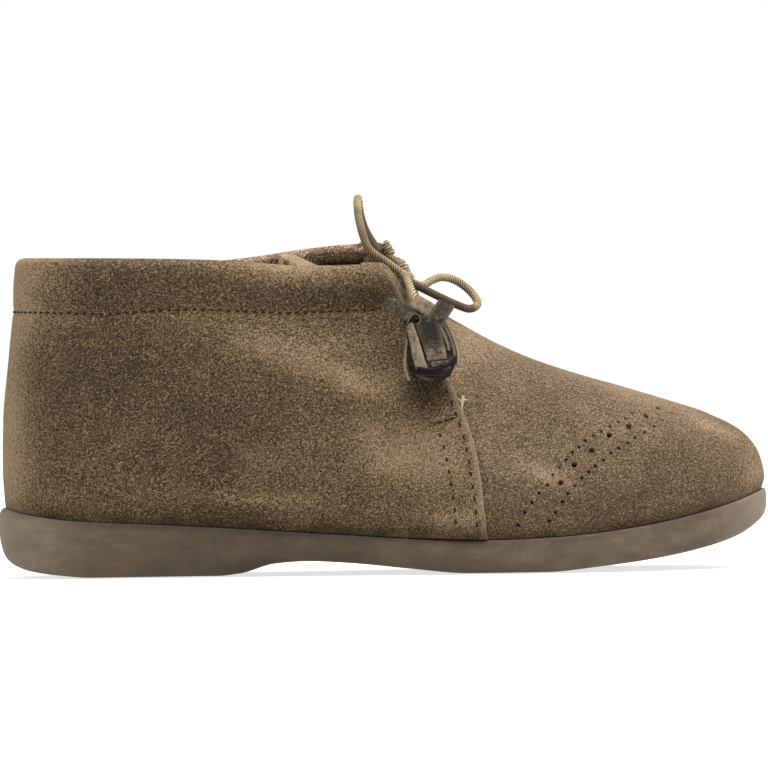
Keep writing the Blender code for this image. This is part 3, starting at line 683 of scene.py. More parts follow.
# Punched holes of the toe, as pixels of the photograph: large ones, with a row of small ones on either side
LARGE_HOLES = ((657, 407), (644, 415), (627, 425), (607, 434), (590, 448), (572, 463), (559, 480))
REAR_HOLES = (
    (631, 412), (624, 417), (616, 421), (608, 425), (600, 430), (592, 434), (584, 439), (577, 445),
    (570, 451), (564, 458), (557, 466), (550, 473), (545, 482), (537, 490), (531, 500), (523, 509),
    (516, 522),
)
FRONT_HOLES = (
    (670, 412), (661, 419), (653, 425), (642, 431), (633, 436), (626, 441), (617, 446), (609, 451),
    (601, 458), (593, 464), (586, 470), (579, 476), (572, 483), (566, 491), (560, 499), (553, 509),
    (547, 518),
)
LARGE_HOLE, SMALL_HOLE = 1.4, 0.8
HOLE_DEPTH, HOLE_LIP, HOLE_SHADE = 1.3, 0.1, 0.6
# Where a hole's wall begins and how wide it is, in radii, and the cuts and reach of the finer faces
HOLE_WALL = (0.72, 0.4)
HOLE_PASSES = ((1, 1.6), (2, 0.65))


def spots(side, shares, rises, seen):
    """Share and rise of the skin, within these, where it is seen from the side at each x and z."""
    shares, rises = np.meshgrid(shares, rises)
    face = skin(side, shares, rises)
    best = [np.argmin((face[..., 0] - x) ** 2 + (face[..., 2] - z) ** 2) for x, z in seen]
    return shares.flat[best], rises.flat[best]


def spots_on_vamp(pixels):
    """Share and rise of places on the vamp, from where the photograph shows them."""
    shares, rises = np.linspace(0.0, LAPS[LATERAL], 240), np.linspace(0.02, 1.0, 240)
    return spots(LATERAL, shares, rises, [from_photo(*pixel) for pixel in pixels])


def punch(vamp):
    """Presses the toe's holes into both sides of the vamp."""
    places, ways, radii = [], [], []
    for pixels, size in ((LARGE_HOLES, LARGE_HOLE), (REAR_HOLES, SMALL_HOLE), (FRONT_HOLES, SMALL_HOLE)):
        spot = spots_on_vamp(pixels)
        for side in SIDES:
            places.extend(skin(side, *spot))
            ways.extend(outward(side, *spot))
            radii.extend([size / 2] * len(pixels))
    depths = (HOLE_DEPTH, HOLE_LIP, HOLE_SHADE)
    return press(vamp, np.array(places), ways, radii, HOLE_PASSES, HOLE_WALL, *depths, True)


# Soft troughs and ridges of the worn leather on the seen side: middle, half lengths, lean and height
RELIEF = table(
    "x z long wide lean much",
    (-22, 58, 16, 5, -28, 0.7), (-32, 50, 18, 4.5, -30, -0.6), (4, 44, 16, 5, -18, 0.5),
    (-4, 38, 18, 4.5, -14, -0.45), (-60, 42, 26, 9, 62, -0.5), (-78, 60, 16, 8, 70, 0.35),
    (34, 40, 12, 4, -58, -0.4), (40, 30, 13, 4.5, -40, 0.4), (30, 22, 14, 4, -12, -0.35),
    (86.8, 36, 8, 1.8, -24, 0.3), (52, 51, 34, 5, -21, -0.32), (97.5, 19, 4, 7, 0, 0.8),
)
# Lighter and darker places of the nap on the seen side: scuffs, and painted highlights and painted shade
PATCHES = table(
    "x z long wide lean much",
    (-24, 56.5, 24, 3.8, -20, 0.9), (-6, 49, 8, 3, -20, 0.7), (4, 50, 4, 6, -20, 0.5),
    (5, 31.5, 13, 7, -12, 1.1), (21, 13.5, 3, 2.6, 0, 0.8), (15.5, 13.6, 2.2, 2.2, 0, 0.7),
    (-33, 20, 16, 1.8, -2, 0.7), (-45, 17, 28, 3.5, 0, -0.35), (-37, 11.5, 20, 2.2, -1.5, -1.2),
    (-35, 38, 22, 12, 0, -0.3), (-98, 40, 6, 40, 0, 1.5), (-93, 76, 12, 14, 0, 1.4),
    (22, 61, 14, 5, -38, 0.5), (21.5, 54.5, 4, 4, 0, 0.6), (23, 38.5, 3, 8, 0, -0.4),
    (17, 30, 6, 14, 0, 0.3), (41.5, 25.5, 8, 2.6, -26, 1.5), (33, 24, 6, 3, -24, 0.4),
    (-72, 52, 30, 26, 0, -0.65), (-40, 26, 26, 7, -4, -0.22), (86.8, 36, 8, 1.7, -24, 0.9),
    (45, 54, 22, 2.6, -21.5, 0.6), (70, 44.5, 16, 3, -20, 0.7), (72.4, 31, 10, 5, 0, -0.3),
    (97, 22.5, 5, 6, 0, 1), (-26, 79, 16, 3.2, -2, 1.3), (-5, 78.8, 8, 2.6, 0, 0.4),
    (-4, 65.5, 18, 3.2, 0, -0.35), (-4, 37.5, 3.6, 4, 0, 0.3), (15, 36, 4, 3.4, 0, 0.35),
    (-27, 31, 14, 4, 0, 0.22), (-12, 71.5, 16, 3.6, 0, -0.6), (0, 71.5, 7, 4, 0, -0.7),
    (-13, 58.5, 5, 4, 0, 0.4), (47, 37.5, 12, 5, -20, -0.3),
)
# Painted shadow cast by the tab, on the quarter alone
TAB_SHADOW = table("x z long wide lean much", (13.2, 47.3, 6.4, 6.6, 0, -1.4))


def lying(rows, points):
    """The sum of a table's soft spots at these points, as seen from the side."""
    total = np.zeros(points.shape[:-1])
    for x, z, long, wide, lean, much in zip(*rows.values()):
        cos, sin = math.cos(math.radians(lean)), math.sin(math.radians(lean))
        dx, dz = points[..., 0] - x, points[..., 2] - z
        total += much * hill(dx * cos + dz * sin, long) * hill(dz * cos - dx * sin, wide)
    return total


# The share of a section's rise over which the relief sets in
FOOT_FADE = 0.08


def relief(points, rises):
    """How far the worn leather stands out from the part's smooth face, from nothing at the sole."""
    much = lying(RELIEF, points) + 0.12 * wave(points, 13.0, 4.0) + 0.05 * wave(points, 4.5, 9.0)
    return much * ease(rises / FOOT_FADE)


# Where the toe's join with the sole turns pale, and where the back of the heel begins: how far each lies
# from the middle of the boot, and over what length it fades in
TOE_JOIN = (82.0, 13.0)
HEEL_BACK = (86.0, 10.0)
UNDER_LAP = 0.03
VAMP_COLUMNS, THROAT_STEPS, VAMP_ROWS = 92, 24, 74


def make_vamp():
    points, backs, faces, border = [], [], [], []
    for side in SIDES:
        tongue_end = share_reaching(side, VAMP_TOP)
        shares = np.concatenate([
            np.linspace(0, tongue_end, VAMP_COLUMNS),
            np.linspace(tongue_end, LAPS[side] + UNDER_LAP, THROAT_STEPS + 1)[1:],
        ])
        rises = rise_at(side, shares, np.tile(np.linspace(0, 1, VAMP_ROWS), (len(shares), 1)))
        base = skin(side, shares[:, None], rises)
        facing = outward(side, shares[:, None], np.minimum(rises, 0.99))
        start = len(points) * rises.size
        points.append(base + facing * relief(base, rises)[..., None])
        backs.append(base - facing * WALL)
        faces += grid(len(shares), VAMP_ROWS, side == LATERAL, start)
        top = start + np.arange(VAMP_COLUMNS, len(shares) + 1) * VAMP_ROWS - 1
        border += pairs(top, side == LATERAL)
    points = np.reshape(points, (-1, 3))
    x, z = points[:, 0], points[:, 2]
    # A band darker along the join with the sole, fading at the toe
    darkened = hill(z - read(FEATHER, "z", x), 2.2) * (0.55 + 0.25 * wave(points, 5.0, 8.0))
    marks = {
        # The patches, less painted shade that darkens the vamp towards the sole
        "light": lying(PATCHES, points) - 0.7 * (1 - fade(z, 12.0, 26.0)),
        "raw": (),
        "dark": np.clip(darkened, 0, 1) * (1.15 - 0.95 * fade(x, *TOE_JOIN)),
    }
    return punch(shell("vamp", points, backs, faces, border, [VAMP_SUEDE, LINING], marks))


# The quarters with their rolled collar
QUARTER_COLUMNS, QUARTER_ROWS = 150, 66
BAND_STEPS = np.concatenate([np.linspace(19.0, 2.6, 28), np.linspace(2.4, 0.0, 12)])
EDGE_STEPS = np.array((0.0, 0.15, 0.4, 0.8, 1.4, 2.2))
SEAM_DIP, SEAM_WIDE = 0.22, 1.1
# The front edge: how far its corner is cut and over what length, and how far behind it the bow fades
EDGE_CUT, EDGE_ROUND, BOW_FADE = 0.75, 1.2, 9.0
# Up from the foot of the collar's band the wall thickens over this length
THICK_FADE = 9.0
# Near the front edge the inner face lies on the vamp: its clearance, and the least wall it leaves
SEAT_GAP, SEAT_WALL = 0.08, 0.4
# The back of the heel is tucked in: how far, and in the same way from where
HEEL_TUCK, TUCK_AT = 0.86, (72.0, 22.0)
# How far below the collar's edge its seam runs
SEAM = table(
    "x below",
    (-96, 14), (-71, 14.5), (-50, 12.95), (-40, 13.05), (-29, 13), (-17, 12.5), (-11, 12.9),
    (-3.5, 14.2), (4, 15),
)
# How far the quarters' front edge bows towards the toe, by its height
BOW = table(
    "z forward",
    (10, 0.1), (16, 0.1), (24, 0.35), (30, 0.85), (36, 1.15), (44, 1.25), (50, 1.1), (60, 0.5), (70, 0),
    (90, 0),
)


def seam_below(side, shares):
    """How far below the collar's edge its seam runs, for each section."""
    return np.interp(top_at(side, shares)[0][:, 0], SEAM["x"], SEAM["below"])


def behind_lap(side, shares):
    """How far behind the quarter's front edge a section stands on the sole."""
    return (shares - LAPS[side]) * EDGES_LENGTH[side]


def forward(side, shares, rises, base):
    """The way along the skin towards the toe."""
    return unit(skin(side, np.clip(shares - 0.002, 0, 1), rises) - base)


def quarter_face(side, shares, below):
    """How far the quarter's outer and inner faces lie outside the vamp's face.

    Each section has a row, with a value for each step below the collar.
    """
    radius = COLLAR_RIM / 2
    turn = radius - np.sqrt(np.maximum(radius**2 - np.maximum(radius - below, 0) ** 2, 0))
    puff = COLLAR_PUFF * np.sin(np.clip(below / COLLAR_BAND, 0, 1) * math.pi)
    groove = SEAM_DIP * hill(below - seam_below(side, shares)[:, None], SEAM_WIDE)
    behind = behind_lap(side, shares)[:, None]
    lap = LAP * (1 - 0.8 * ease(behind / LAP_FADE))
    cut = EDGE_CUT * np.sqrt(1 - np.clip(behind / EDGE_ROUND, 0, 1)) ** 3
    up = COLLAR_BAND - below
    outer = lap * (1 - 0.55 * ease(up / COLLAR_BAND)) + (puff - groove - turn) - cut
    thick = WALL + (COLLAR_RIM - WALL) * ease(up / THICK_FADE)
    inner = -(thick - turn) + (outer + turn) * ease(up / THICK_FADE)
    seat = (1 - fade(behind, 3.0, 6.0)) * (1 - fade(-below, -6.0, 5.0))
    inner = inner + (np.minimum(SEAT_GAP, outer - SEAT_WALL) - inner) * seat
    return outer, np.where(below < 1e-9, outer, inner)


def quarter_relief(base, rises, below):
    """The worn leather's relief, from nothing at the collar's edge."""
    return relief(base, rises) * fade(below, 2.0, 9.0)


def bowed(side, shares, rises, base):
    """The quarters' shift towards the toe: along their front edge, and at the back of the heel."""
    much = curve(BOW["z"], BOW["forward"], base[..., 2]) * hill(behind_lap(side, shares), BOW_FADE)
    tuck = HEEL_TUCK * fade(-base[..., 0], *TUCK_AT)
    return forward(side, shares, rises, base) * much[..., None] + tuck[..., None] * np.array((1.0, 0.0, 0.0))


def quarter_steps(side, shares):
    """Rises up each section, and how far below the collar's edge each lies."""
    rises, below = [], []
    steps = np.linspace(0, 1, 500)
    for one in shares:
        along = lengths(skin(side, np.full(len(steps), one), steps))
        low = np.linspace(along[-1], BAND_STEPS[0], QUARTER_ROWS, endpoint=False)
        below.append(np.concatenate([low, BAND_STEPS]))
        rises.append(np.interp(along[-1] - below[-1], along, steps))
    return np.array(rises), np.array(below)


def quarter_marks(side, shares, base, rises, below):
    """The quarter's light with painted highlights and shade, raw front edge, darker seam and join, and
    painted shade on its lining.
    """
    x = base[..., 0]
    behind, seam = behind_lap(side, shares)[:, None], seam_below(side, shares)[:, None]
    light = lying(PATCHES, base) + lying(TAB_SHADOW, base)
    if side == MEDIAL:
        light = 0.15 * wave(base, 22.0, 7.0) - 0.3 + (light + 0.3) * fade(-x, 78.0, 16.0)
    light = light - 0.4 * ease((seam - below) / 2.0) * ease(below / 5.0)
    edge = np.maximum(hill(behind, 0.5), 0.5 * np.exp(-((behind / 1.4) ** 4))) * fade(below, 1.0, 5.0)
    raw = np.clip(edge * (0.7 + 0.4 * wave(base, 1.4, 3.0)), 0, 1)
    # Darker along the join with the sole, less at the back of the heel, and along the collar's seam
    low = hill(rises * 60.0, 2.8) * (0.7 + 0.25 * wave(base, 5.0, 8.0)) * (1 - 0.4 * fade(-x, *HEEL_BACK))
    darkened = np.clip(0.2 * hill(below - seam, 0.5) + low, 0, 1)
    # The last is painted shade on the lining, a few millimetres below the collar's edge
    return light, raw, darkened, 0.95 * fade(below, 1.2, 3.8) * (1 - 0.75 * fade(below, 8.0, 9.0))


def make_quarters():
    points, backs, faces, border, marks = [], [], [], [], []
    for side in SIDES:
        near = LAPS[side] + EDGE_STEPS / EDGES_LENGTH[side]
        shares = np.concatenate([near, np.linspace(near[-1], 1.0, QUARTER_COLUMNS)[1:]])
        column = shares[:, None]
        rises, below = quarter_steps(side, shares)
        base, facing = skin(side, column, rises), outward(side, column, rises)
        facing[:, 0, 2] = 0
        facing[:, 0] = unit(facing[:, 0])
        outer, inner = quarter_face(side, shares, below)
        ragged = 0.22 * wave(base, 2.4, 2.0) + 0.3 * wave(base, 7.0, 5.0)
        ragged = (ragged * hill(behind_lap(side, column), 1.5))[..., None]
        moved = base + forward(side, column, rises, base) * ragged + bowed(side, column, rises, base)
        columns, rows = below.shape
        start = len(points) * below.size
        points.append(moved + facing * (outer + quarter_relief(base, rises, below))[..., None])
        backs.append(moved + facing * inner[..., None])
        marks.append(quarter_marks(side, shares, base, rises, below))
        faces += grid(columns, rows, side == LATERAL, start)
        border += pairs(range(start, start + rows), side == MEDIAL)
    light, raw, darkened, deep = zip(*marks)
    marks = {"light": light, "raw": (raw, raw), "dark": (darkened, deep)}
    return shell("quarters", points, backs, faces, border, [QUARTER_SUEDE, LINING], marks)


vamp = make_vamp()
quarters = make_quarters()
for piece in (vamp, quarters):
    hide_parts("upper")

# The sole: rings of its outsole and of its insole, each with its inset and its share of the height
SOLE_RINGS = table(
    "inset height",
    (16, 0), (9, 0), (4.6, 0), (2.8, 0.015), (1.8, 0.04), (1.1, 0.08), (0.6, 0.15), (0.28, 0.24),
    (0.08, 0.35), (0, 0.48), (0, 0.62), (0.04, 0.75), (0.1, 0.86), (0.22, 0.94), (0.42, 0.985),
    (0.8, 1.01), (1.2, 1.01), (6, 1),
)
INSOLE_RINGS = table(
    "inset height",
    (0.5, 0), (0.05, 0.2), (0, 0.5), (0.1, 0.8), (0.6, 0.97), (2, 1), (6, 0.9), (12, 0.8),
)
SOLE_COLUMNS, INSOLE_COLUMNS = 190, 120
INSOLE_INSET = RIM + WALL + GAP + 0.2
# The sole's upper corner behind the heel: how far it is rounded, and from which share of its height
HEEL_CORNER, CORNER_START = 1.3, 0.79
SOLE_UNEVEN = 0.1


def ring(side, share, inset, height):
    """One side of a ring round the sole, at one inset and one share of its height."""
    place, _ = edge_at(side, share, inset)
    low, top = read(GROUND, "z", place[:, 0]), read(FEATHER, "z", place[:, 0]) - GAP / 2
    return np.concatenate([place, (low + (top - low) * height)[:, None]], axis=1)


def plate(name, rows, columns, line, material, marks=None):
    """A solid from closed rings, a row for each, lowest first: line gives a side of one, from toe to heel."""
    share = np.linspace(0, 1, columns)
    points, faces, numbers = [], [], []
    for row in zip(*rows.values()):
        lateral, medial = (line(side, share, *row) for side in SIDES)
        loop = np.concatenate([lateral, medial[-2:0:-1]])
        numbers.append(np.arange(len(loop)) + len(points))
        points.extend(loop)
    for low, high in zip(numbers, numbers[1:]):
        for k in range(len(low)):
            n = (k + 1) % len(low)
            faces.append((low[k], high[k], high[n], low[n]))
    for loop, turned in ((numbers[0], False), (numbers[-1], True)):
        half = len(loop) // 2
        for k in range(half):
            face = [loop[k], loop[k + 1], loop[(-k - 1) % len(loop)], loop[-k % len(loop)]]
            face = [v for i, v in enumerate(face) if v not in face[:i]]
            faces.append(face[::-1] if turned else face)
    points = np.array(points)
    made = add_mesh(name, points, faces, [material], None, marks(points) if marks else None)
    return closed(opened(made), made)


def sole_line(side, share, inset, height):
    """One side of a ring of the outsole, a little uneven, and rounded behind the heel."""
    line = ring(side, share, inset, height)
    corner = min(max((height - CORNER_START) / (1 - CORNER_START), 0.0), 1.0)
    shift = SOLE_UNEVEN * wave(line, 16.0, 6.0) * (4 * height * (1 - height))
    shift -= HEEL_CORNER * (1 - math.sqrt(1 - corner**2)) * fade(-line[:, 0], *HEEL_BACK)
    line[:, :2] += edge_at(side, share, 0.0)[1] * shift[:, None]
    return line


def sole_marks(points):
    """The sole's grime under the join, and its paler toe and heel."""
    x, z = points[:, 0], points[:, 2]
    low, top = read(GROUND, "z", x), read(FEATHER, "z", x)
    grime = hill(top - z, 1.3) * (0.55 + 0.45 * fade(-x, -30.0, 40.0))
    grime *= 1 - 0.6 * fade(-x, 62.0, 24.0) - 0.8 * fade(x, *TOE_JOIN)
    up = np.clip((z - low) / (top - low), 0, 1)
    light = 0.5 * fade(x, 80.0, 18.0) + 0.06 * fade(x, 20.0, 60.0)
    light += (0.3 + 0.5 * up) * fade(-x, 68.0, 31.0) - 0.35 * hill(x + 30.0, 24.0)
    return {"grime": grime, "light": light}


def insole_line(side, share, inset, height):
    """One side of a ring of the insole, on top of the outsole."""
    line = ring(side, share, INSOLE_INSET + inset, 1.0)
    line[:, 2] += GAP + INSOLE_THICK * height
    return line


sole = plate("sole", SOLE_RINGS, SOLE_COLUMNS, sole_line, RUBBER, sole_marks)
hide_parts("outsole")
insole = plate("insole_sheet", INSOLE_RINGS, INSOLE_COLUMNS, insole_line, TAN)
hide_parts("insole")

# The tongue: its ridge, half its width and how far its sides drop
TONGUE = table(
    "x z half drop",
    (27, 57, 13, 4.8), (20, 61.2, 13.5, 6), (13, 65.8, 13.4, 6.4), (7, 69.4, 12.8, 5.3),
    (1, 72.8, 12.6, 4), (-6, 75.9, 13.2, 3.2), (-14, 79, 13.2, 2.7), (-20, 81.7, 12, 2.2),
    (-23.2, 83.2, 10.6, 1.9), (-25.2, 82.8, 9.2, 1.7), (-26.6, 80.6, 7.2, 1.4),
)
TONGUE_MIDDLE = 0.3
TONGUE_COLUMNS, TONGUE_ROWS = 70, 41
# The share of the tongue's half width beyond which its edge is rounded
TONGUE_EDGE = 0.9


def make_tongue():
    knots = np.arange(len(TONGUE["x"]), dtype=float)
    along = np.linspace(0, knots[-1], TONGUE_COLUMNS)
    x, z, half, drop = (curve(knots, column, along)[:, None] for column in TONGUE.values())
    way = unit(np.gradient(np.concatenate([x, z], axis=1), axis=0))
    down = np.stack([-way[:, 1], np.zeros(len(way)), way[:, 0]], axis=1)
    down *= -np.sign(down[:, 2])[:, None]
    across = np.sin(np.linspace(-math.pi / 2, math.pi / 2, TONGUE_ROWS))
    places = np.stack(np.broadcast_arrays(x, half * across, z), axis=-1)
    fall = drop * across**2 + 0.18 * wave(places, 9.0, 8.0)
    beyond = np.maximum(np.abs(across) - TONGUE_EDGE, 0) / (1 - TONGUE_EDGE)
    round_off = TONGUE_THICK / 2 * (1 - np.sqrt(np.maximum(1 - beyond**2, 0)))
    places[..., 1] += TONGUE_MIDDLE
    outer = places + down[:, None] * (fall + round_off)[..., None]
    inner = places + down[:, None] * (fall + TONGUE_THICK - round_off)[..., None]
    faces = grid(TONGUE_COLUMNS, TONGUE_ROWS, True)
    n = np.arange(fall.size).reshape(fall.shape)
    border = [*n[:, 0], *n[-1, 1:], *n[-2::-1, -1], *n[0, -2::-1]]
    every = np.concatenate([outer, inner])
    aside = np.abs(every[..., 1] - TONGUE_MIDDLE)
    # Painted light on the tongue's curled tip, and painted shade on its sides at the throat
    marks = {
        "light": 1.8 * fade(-every[..., 0], 23.4, 2.0),
        "raw": (),
        "dark": 0.8 * fade(every[..., 0], -6.0, 6.0) * fade(aside, 5.0, 3.0),
    }
    return shell("tongue_leather", outer, inner, faces, pairs(border), [TONGUE_SUEDE, LINING], marks)


tongue = make_tongue()
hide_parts("tongue")

# Lace: the part's routes
ROUTES = {
    "run_lateral": (
        (7.1, -22.0, 67.7), (8.1, -23.6, 64.6), (9.0, -25.2, 61.3), (9.8, -26.6, 58.1), (10.6, -27.9, 54.8),
    ),
    "run_medial": (
        (6.6, 24.4, 67.4), (7.5, 25.6, 64.3), (8.4, 26.5, 61.1), (9.5, 27.5, 58.0), (10.6, 28.5, 54.9),
    ),
    "stay_lateral": (
        (4.6, -16.4, 63.9), (4.0, -13.5, 67.4), (3.3, -10.2, 70.3), (2.4, -7.1, 72.3), (1.7, -4.4, 73.5),
        (2.0, -2.8, 74.6),
    ),
    "stay_medial": (
        (5.3, 17.6, 64.6), (4.6, 15.1, 67.8), (3.9, 12.4, 70.8), (3.1, 9.2, 73.5), (2.1, 6.2, 75.4),
        (2.4, 3.8, 77.3),
    ),
    "loop_rear": (
        (5.3, -3.4, 77.9), (1.5, -4.6, 80.7), (-0.5, -5.0, 82.0), (-2.1, -5.3, 83.4), (-3.2, -5.5, 84.9),
        (-4.1, -5.4, 87.4), (-4.8, -4.8, 90.1), (-5.3, -3.8, 92.8), (-5.5, -2.4, 95.8), (-5.4, -0.4, 97.1),
        (-5.2, 1.6, 96.6), (-4.9, 3.2, 93.6), (-4.2, 3.8, 90.8), (-3.2, 4.0, 88.3), (-1.6, 3.2, 85.6),
        (-0.2, 2.4, 83.6), (3.4, 0.8, 80.9),
    ),
    "loop_front": (
        (8.1, -2.6, 75.2), (10.9, -3.6, 73.6), (15.2, -4.2, 71.4), (19.5, -3.8, 69.3), (23.2, -2.2, 68.0),
        (25.3, 0.4, 69.0), (24.9, 2.8, 70.9), (22.6, 4.2, 73.5), (19.4, 4.2, 75.6), (16.2, 3.4, 76.3),
        (13.5, 2.4, 75.5), (11.3, 1.2, 74.3), (9.1, 0.6, 74.9), (7.2, 0.5, 76.6),
    ),
    "end_lateral": (
        (6.3, -4.3, 77.2), (6.9, -8.4, 76.6), (7.3, -12.4, 75.3), (7.9, -16.1, 73.7), (8.6, -19.6, 71.7),
        (9.6, -22.8, 69.2), (10.7, -25.7, 66.6),
    ),
    "end_medial": (
        (7.2, 3.4, 77.2), (7.7, 8.2, 76.8), (8.2, 12.6, 75.9), (8.6, 16.8, 74.2), (9.2, 20.6, 72.0),
        (9.5, 23.9, 69.5), (9.5, 26.2, 67.2),
    ),
}
# Where each side of the lace passes through the knot, before its loop and after it
KNOT_IN = {LATERAL: ((4.6, -1.0, 77.0), (6.9, -1.0, 77.2)), MEDIAL: ((4.6, 2.4, 78.6), (5.2, -1.0, 77.9))}
KNOT_OUT = {LATERAL: ((6.8, 1.0, 78.4), (6.2, -1.8, 77.6)), MEDIAL: ((4.8, 1.8, 80.6), (6.8, 2.8, 78.6))}
# The two coils of the knot: middle, way along, radius, turns and rise of a turn
KNOT_COILS = (
    ((2.3, 0.8, 83.9), (0.51, 0.0, -0.86), 0.5, 2.4, 1.3),
    ((6.1, -1.9, 79.0), (0.62, 0.0, -0.79), 0.75, 2.2, 1.35),
)
KNOT_THICK = 1.65
RIB, RIB_TURNS, RIB_HEIGHT = 0.72, 5, 0.035
LACE_THICK = 2.08
# How far the twist is loosened in the lengths that carry the tabs, and the step along the lace
LOOSENED, LACE_STEP = 1.0, 0.16
# Darker lengths of the lace and how dark each is: soiled, and painted shade on the loops' lower and far
# strands
DIRT_AND_SHADE = {
    "lateral": ((ROUTES["loop_front"][:5], 1.0),),
    "medial": ((ROUTES["loop_rear"][11:], 1.0), (ROUTES["loop_rear"][2:8], 0.4)),
}


def through(route, spacing):
    """Evenly spaced places on a smooth curve through a route."""
    route = np.array(route, float)
    ends = np.concatenate([[2 * route[0] - route[1]], route, [2 * route[-1] - route[-2]]])
    t = np.linspace(0, 1, 40, endpoint=False)[:, None]
    pieces = []
    for a, b, c, d in zip(ends, ends[1:], ends[2:], ends[3:]):
        bend = (2 * a - 5 * b + 4 * c - d) * t**2 + (3 * b - a - 3 * c + d) * t**3
        pieces.append(b + ((c - a) * t + bend) / 2)
    path = np.concatenate(pieces + [route[-1:]])
    along = lengths(path)
    wanted = np.linspace(0, along[-1], max(3, round(along[-1] / spacing) + 1))
    return sampled(wanted, along, path)


def frames(path):
    """Directions beside and over a path that turn as little as they can."""
    way = unit(np.gradient(path, axis=0))
    side = np.cross(way[0], (0.3, 0.2, 0.9))
    beside = []
    for one in way:
        side = unit(side - one * side.dot(one))
        beside.append(side)
    return np.array(beside), np.cross(way, beside)


def rings_round(path, beside, over, radius, around):
    """Points round a path, ring by ring."""
    angle = np.linspace(0, 2 * math.pi, around, endpoint=False)[:, None]
    away = beside[:, None] * np.cos(angle) + over[:, None] * np.sin(angle)
    return path[:, None] + radius[..., None] * away


def gap_to(path, route):
    """How far each place of a path lies from a route."""
    return np.linalg.norm(path[:, None] - through(route, 0.5), axis=2).min(axis=1)


def tube(name, route, darkened=(), loosened=None, thick=LACE_THICK, around=14):
    """A twisted cord along a route, darker where it is soiled and where shade is painted, as a mesh with its
    ribs, and its line.
    """
    path = through(route, LACE_STEP)
    shade = np.zeros(len(path))
    pitch = np.full(len(path), RIB)
    if loosened is not None:
        pitch = RIB * (1 + LOOSENED * (1 - ease(gap_to(path, loosened) / 2.0)))
    for darker_run, much in darkened:
        shade = np.maximum(shade, much * (1 - fade(gap_to(path, darker_run), 0.5, 2.0)))
    turned = np.cumsum(np.gradient(lengths(path)) / pitch)[:, None]
    rib = np.cos(2 * math.pi * (turned - RIB_TURNS * np.arange(around) / around))
    points = rings_round(path, *frames(path), thick / 2 * (1 + RIB_HEIGHT * rib), around)
    marks = {"rib": np.ravel(1 + rib) / 2, "shade": np.repeat(shade, around)}
    made = add_mesh(name, points, tube_faces(len(path), around), [CORD_MATERIAL], None, marks)
    return made, path


# Lace holes in each quarter, seen from the side: the upper one and the lower one
EYELETS = ((5.9, 65.9), (10.6, 54.0))
EYELET_DEPTH = 2.0
EYELET_WALL = (1.0, 1 / 3)
EYELET_PASSES = ((3, 1.7),)
# How far inside and outside an eyelet the lace's places lie
LACE_IN, LACE_OUT = 1.3, 0.4


def on_quarter(side, share, rise):
    """Points of the quarter's outer face and their outward directions."""
    steps = np.linspace(rise, 1, 120, axis=1)
    below = np.array([lengths(skin(side, np.full(120, s), up))[-1] for s, up in zip(share, steps)])
    base, facing = skin(side, share, rise), outward(side, share, rise)
    outer = quarter_face(side, share, below[:, None])[0][:, 0] + quarter_relief(base, rise, below)
    return base + bowed(side, share, rise, base) + facing * outer[:, None], facing


def press_eyelets():
    """Presses a hole darkened with painted shade into the quarters at each eyelet, and gives each side's
    places and ways out.
    """
    found = {}
    for side in SIDES:
        shares, rises = np.linspace(LAPS[side], LAPS[side] + 0.2, 160), np.linspace(0.3, 0.98, 160)
        found[side] = on_quarter(side, *spots(side, shares, rises, EYELETS))
    places, ways = (np.concatenate(part) for part in zip(*found.values()))
    radii = np.full(len(places), EYELET / 2)
    depths = (EYELET_DEPTH, 0.0, 1.0)
    press(quarters, places, ways, radii, EYELET_PASSES, EYELET_WALL, *depths, False)
    return found


HOLES = press_eyelets()


def out_of(side, k):
    """The lace's first places, out of an eyelet."""
    place, way = (part[k] for part in HOLES[side])
    return [tuple(place - way * LACE_IN), tuple(place + way * LACE_OUT)]


# The leather tabs on the lace's ends: their necks and lower ends, and their rings down from the neck
TAB_TOPS = {LATERAL: (11.0, -28.7, 65.0), MEDIAL: (9.8, 29.6, 65.2)}
TAB_BOTTOMS = {LATERAL: (13.0, -37.8, 49.6), MEDIAL: (11.6, 38.6, 49.8)}
TAB_RINGS = table(
    "down half depth",
    (0, 2.8, 2), (0.6, 3.8, 2.8), (2.6, 4.8, 3.4), (6, 5.6, 4), (10, 6.1, 4.2), (13.4, 5.9, 3.9),
    (15.6, 5, 3.2), (17, 3.4, 2.2),
)
TAB_SHIFT = 0.6
# The section of a strap, in half widths and half thicknesses, and how worn it is
STRAP = table(
    "wide proud worn",
    (-1, -0.55, 1), (-1, 0.55, 1), (-0.93, 1, 0.6), (-0.5, 1.1, 0), (0.5, 1.1, 0),
    (0.93, 1, 0.6), (1, 0.55, 1), (1, -0.55, 1), (0.93, -1, 0.3), (-0.93, -1, 0.3),
)
CORE_RINGS, CORE_AROUND, CORE_POWER = 46, 48, 2 / 2.7
FOLDS, STRAP_STEP = 0.16, 0.4


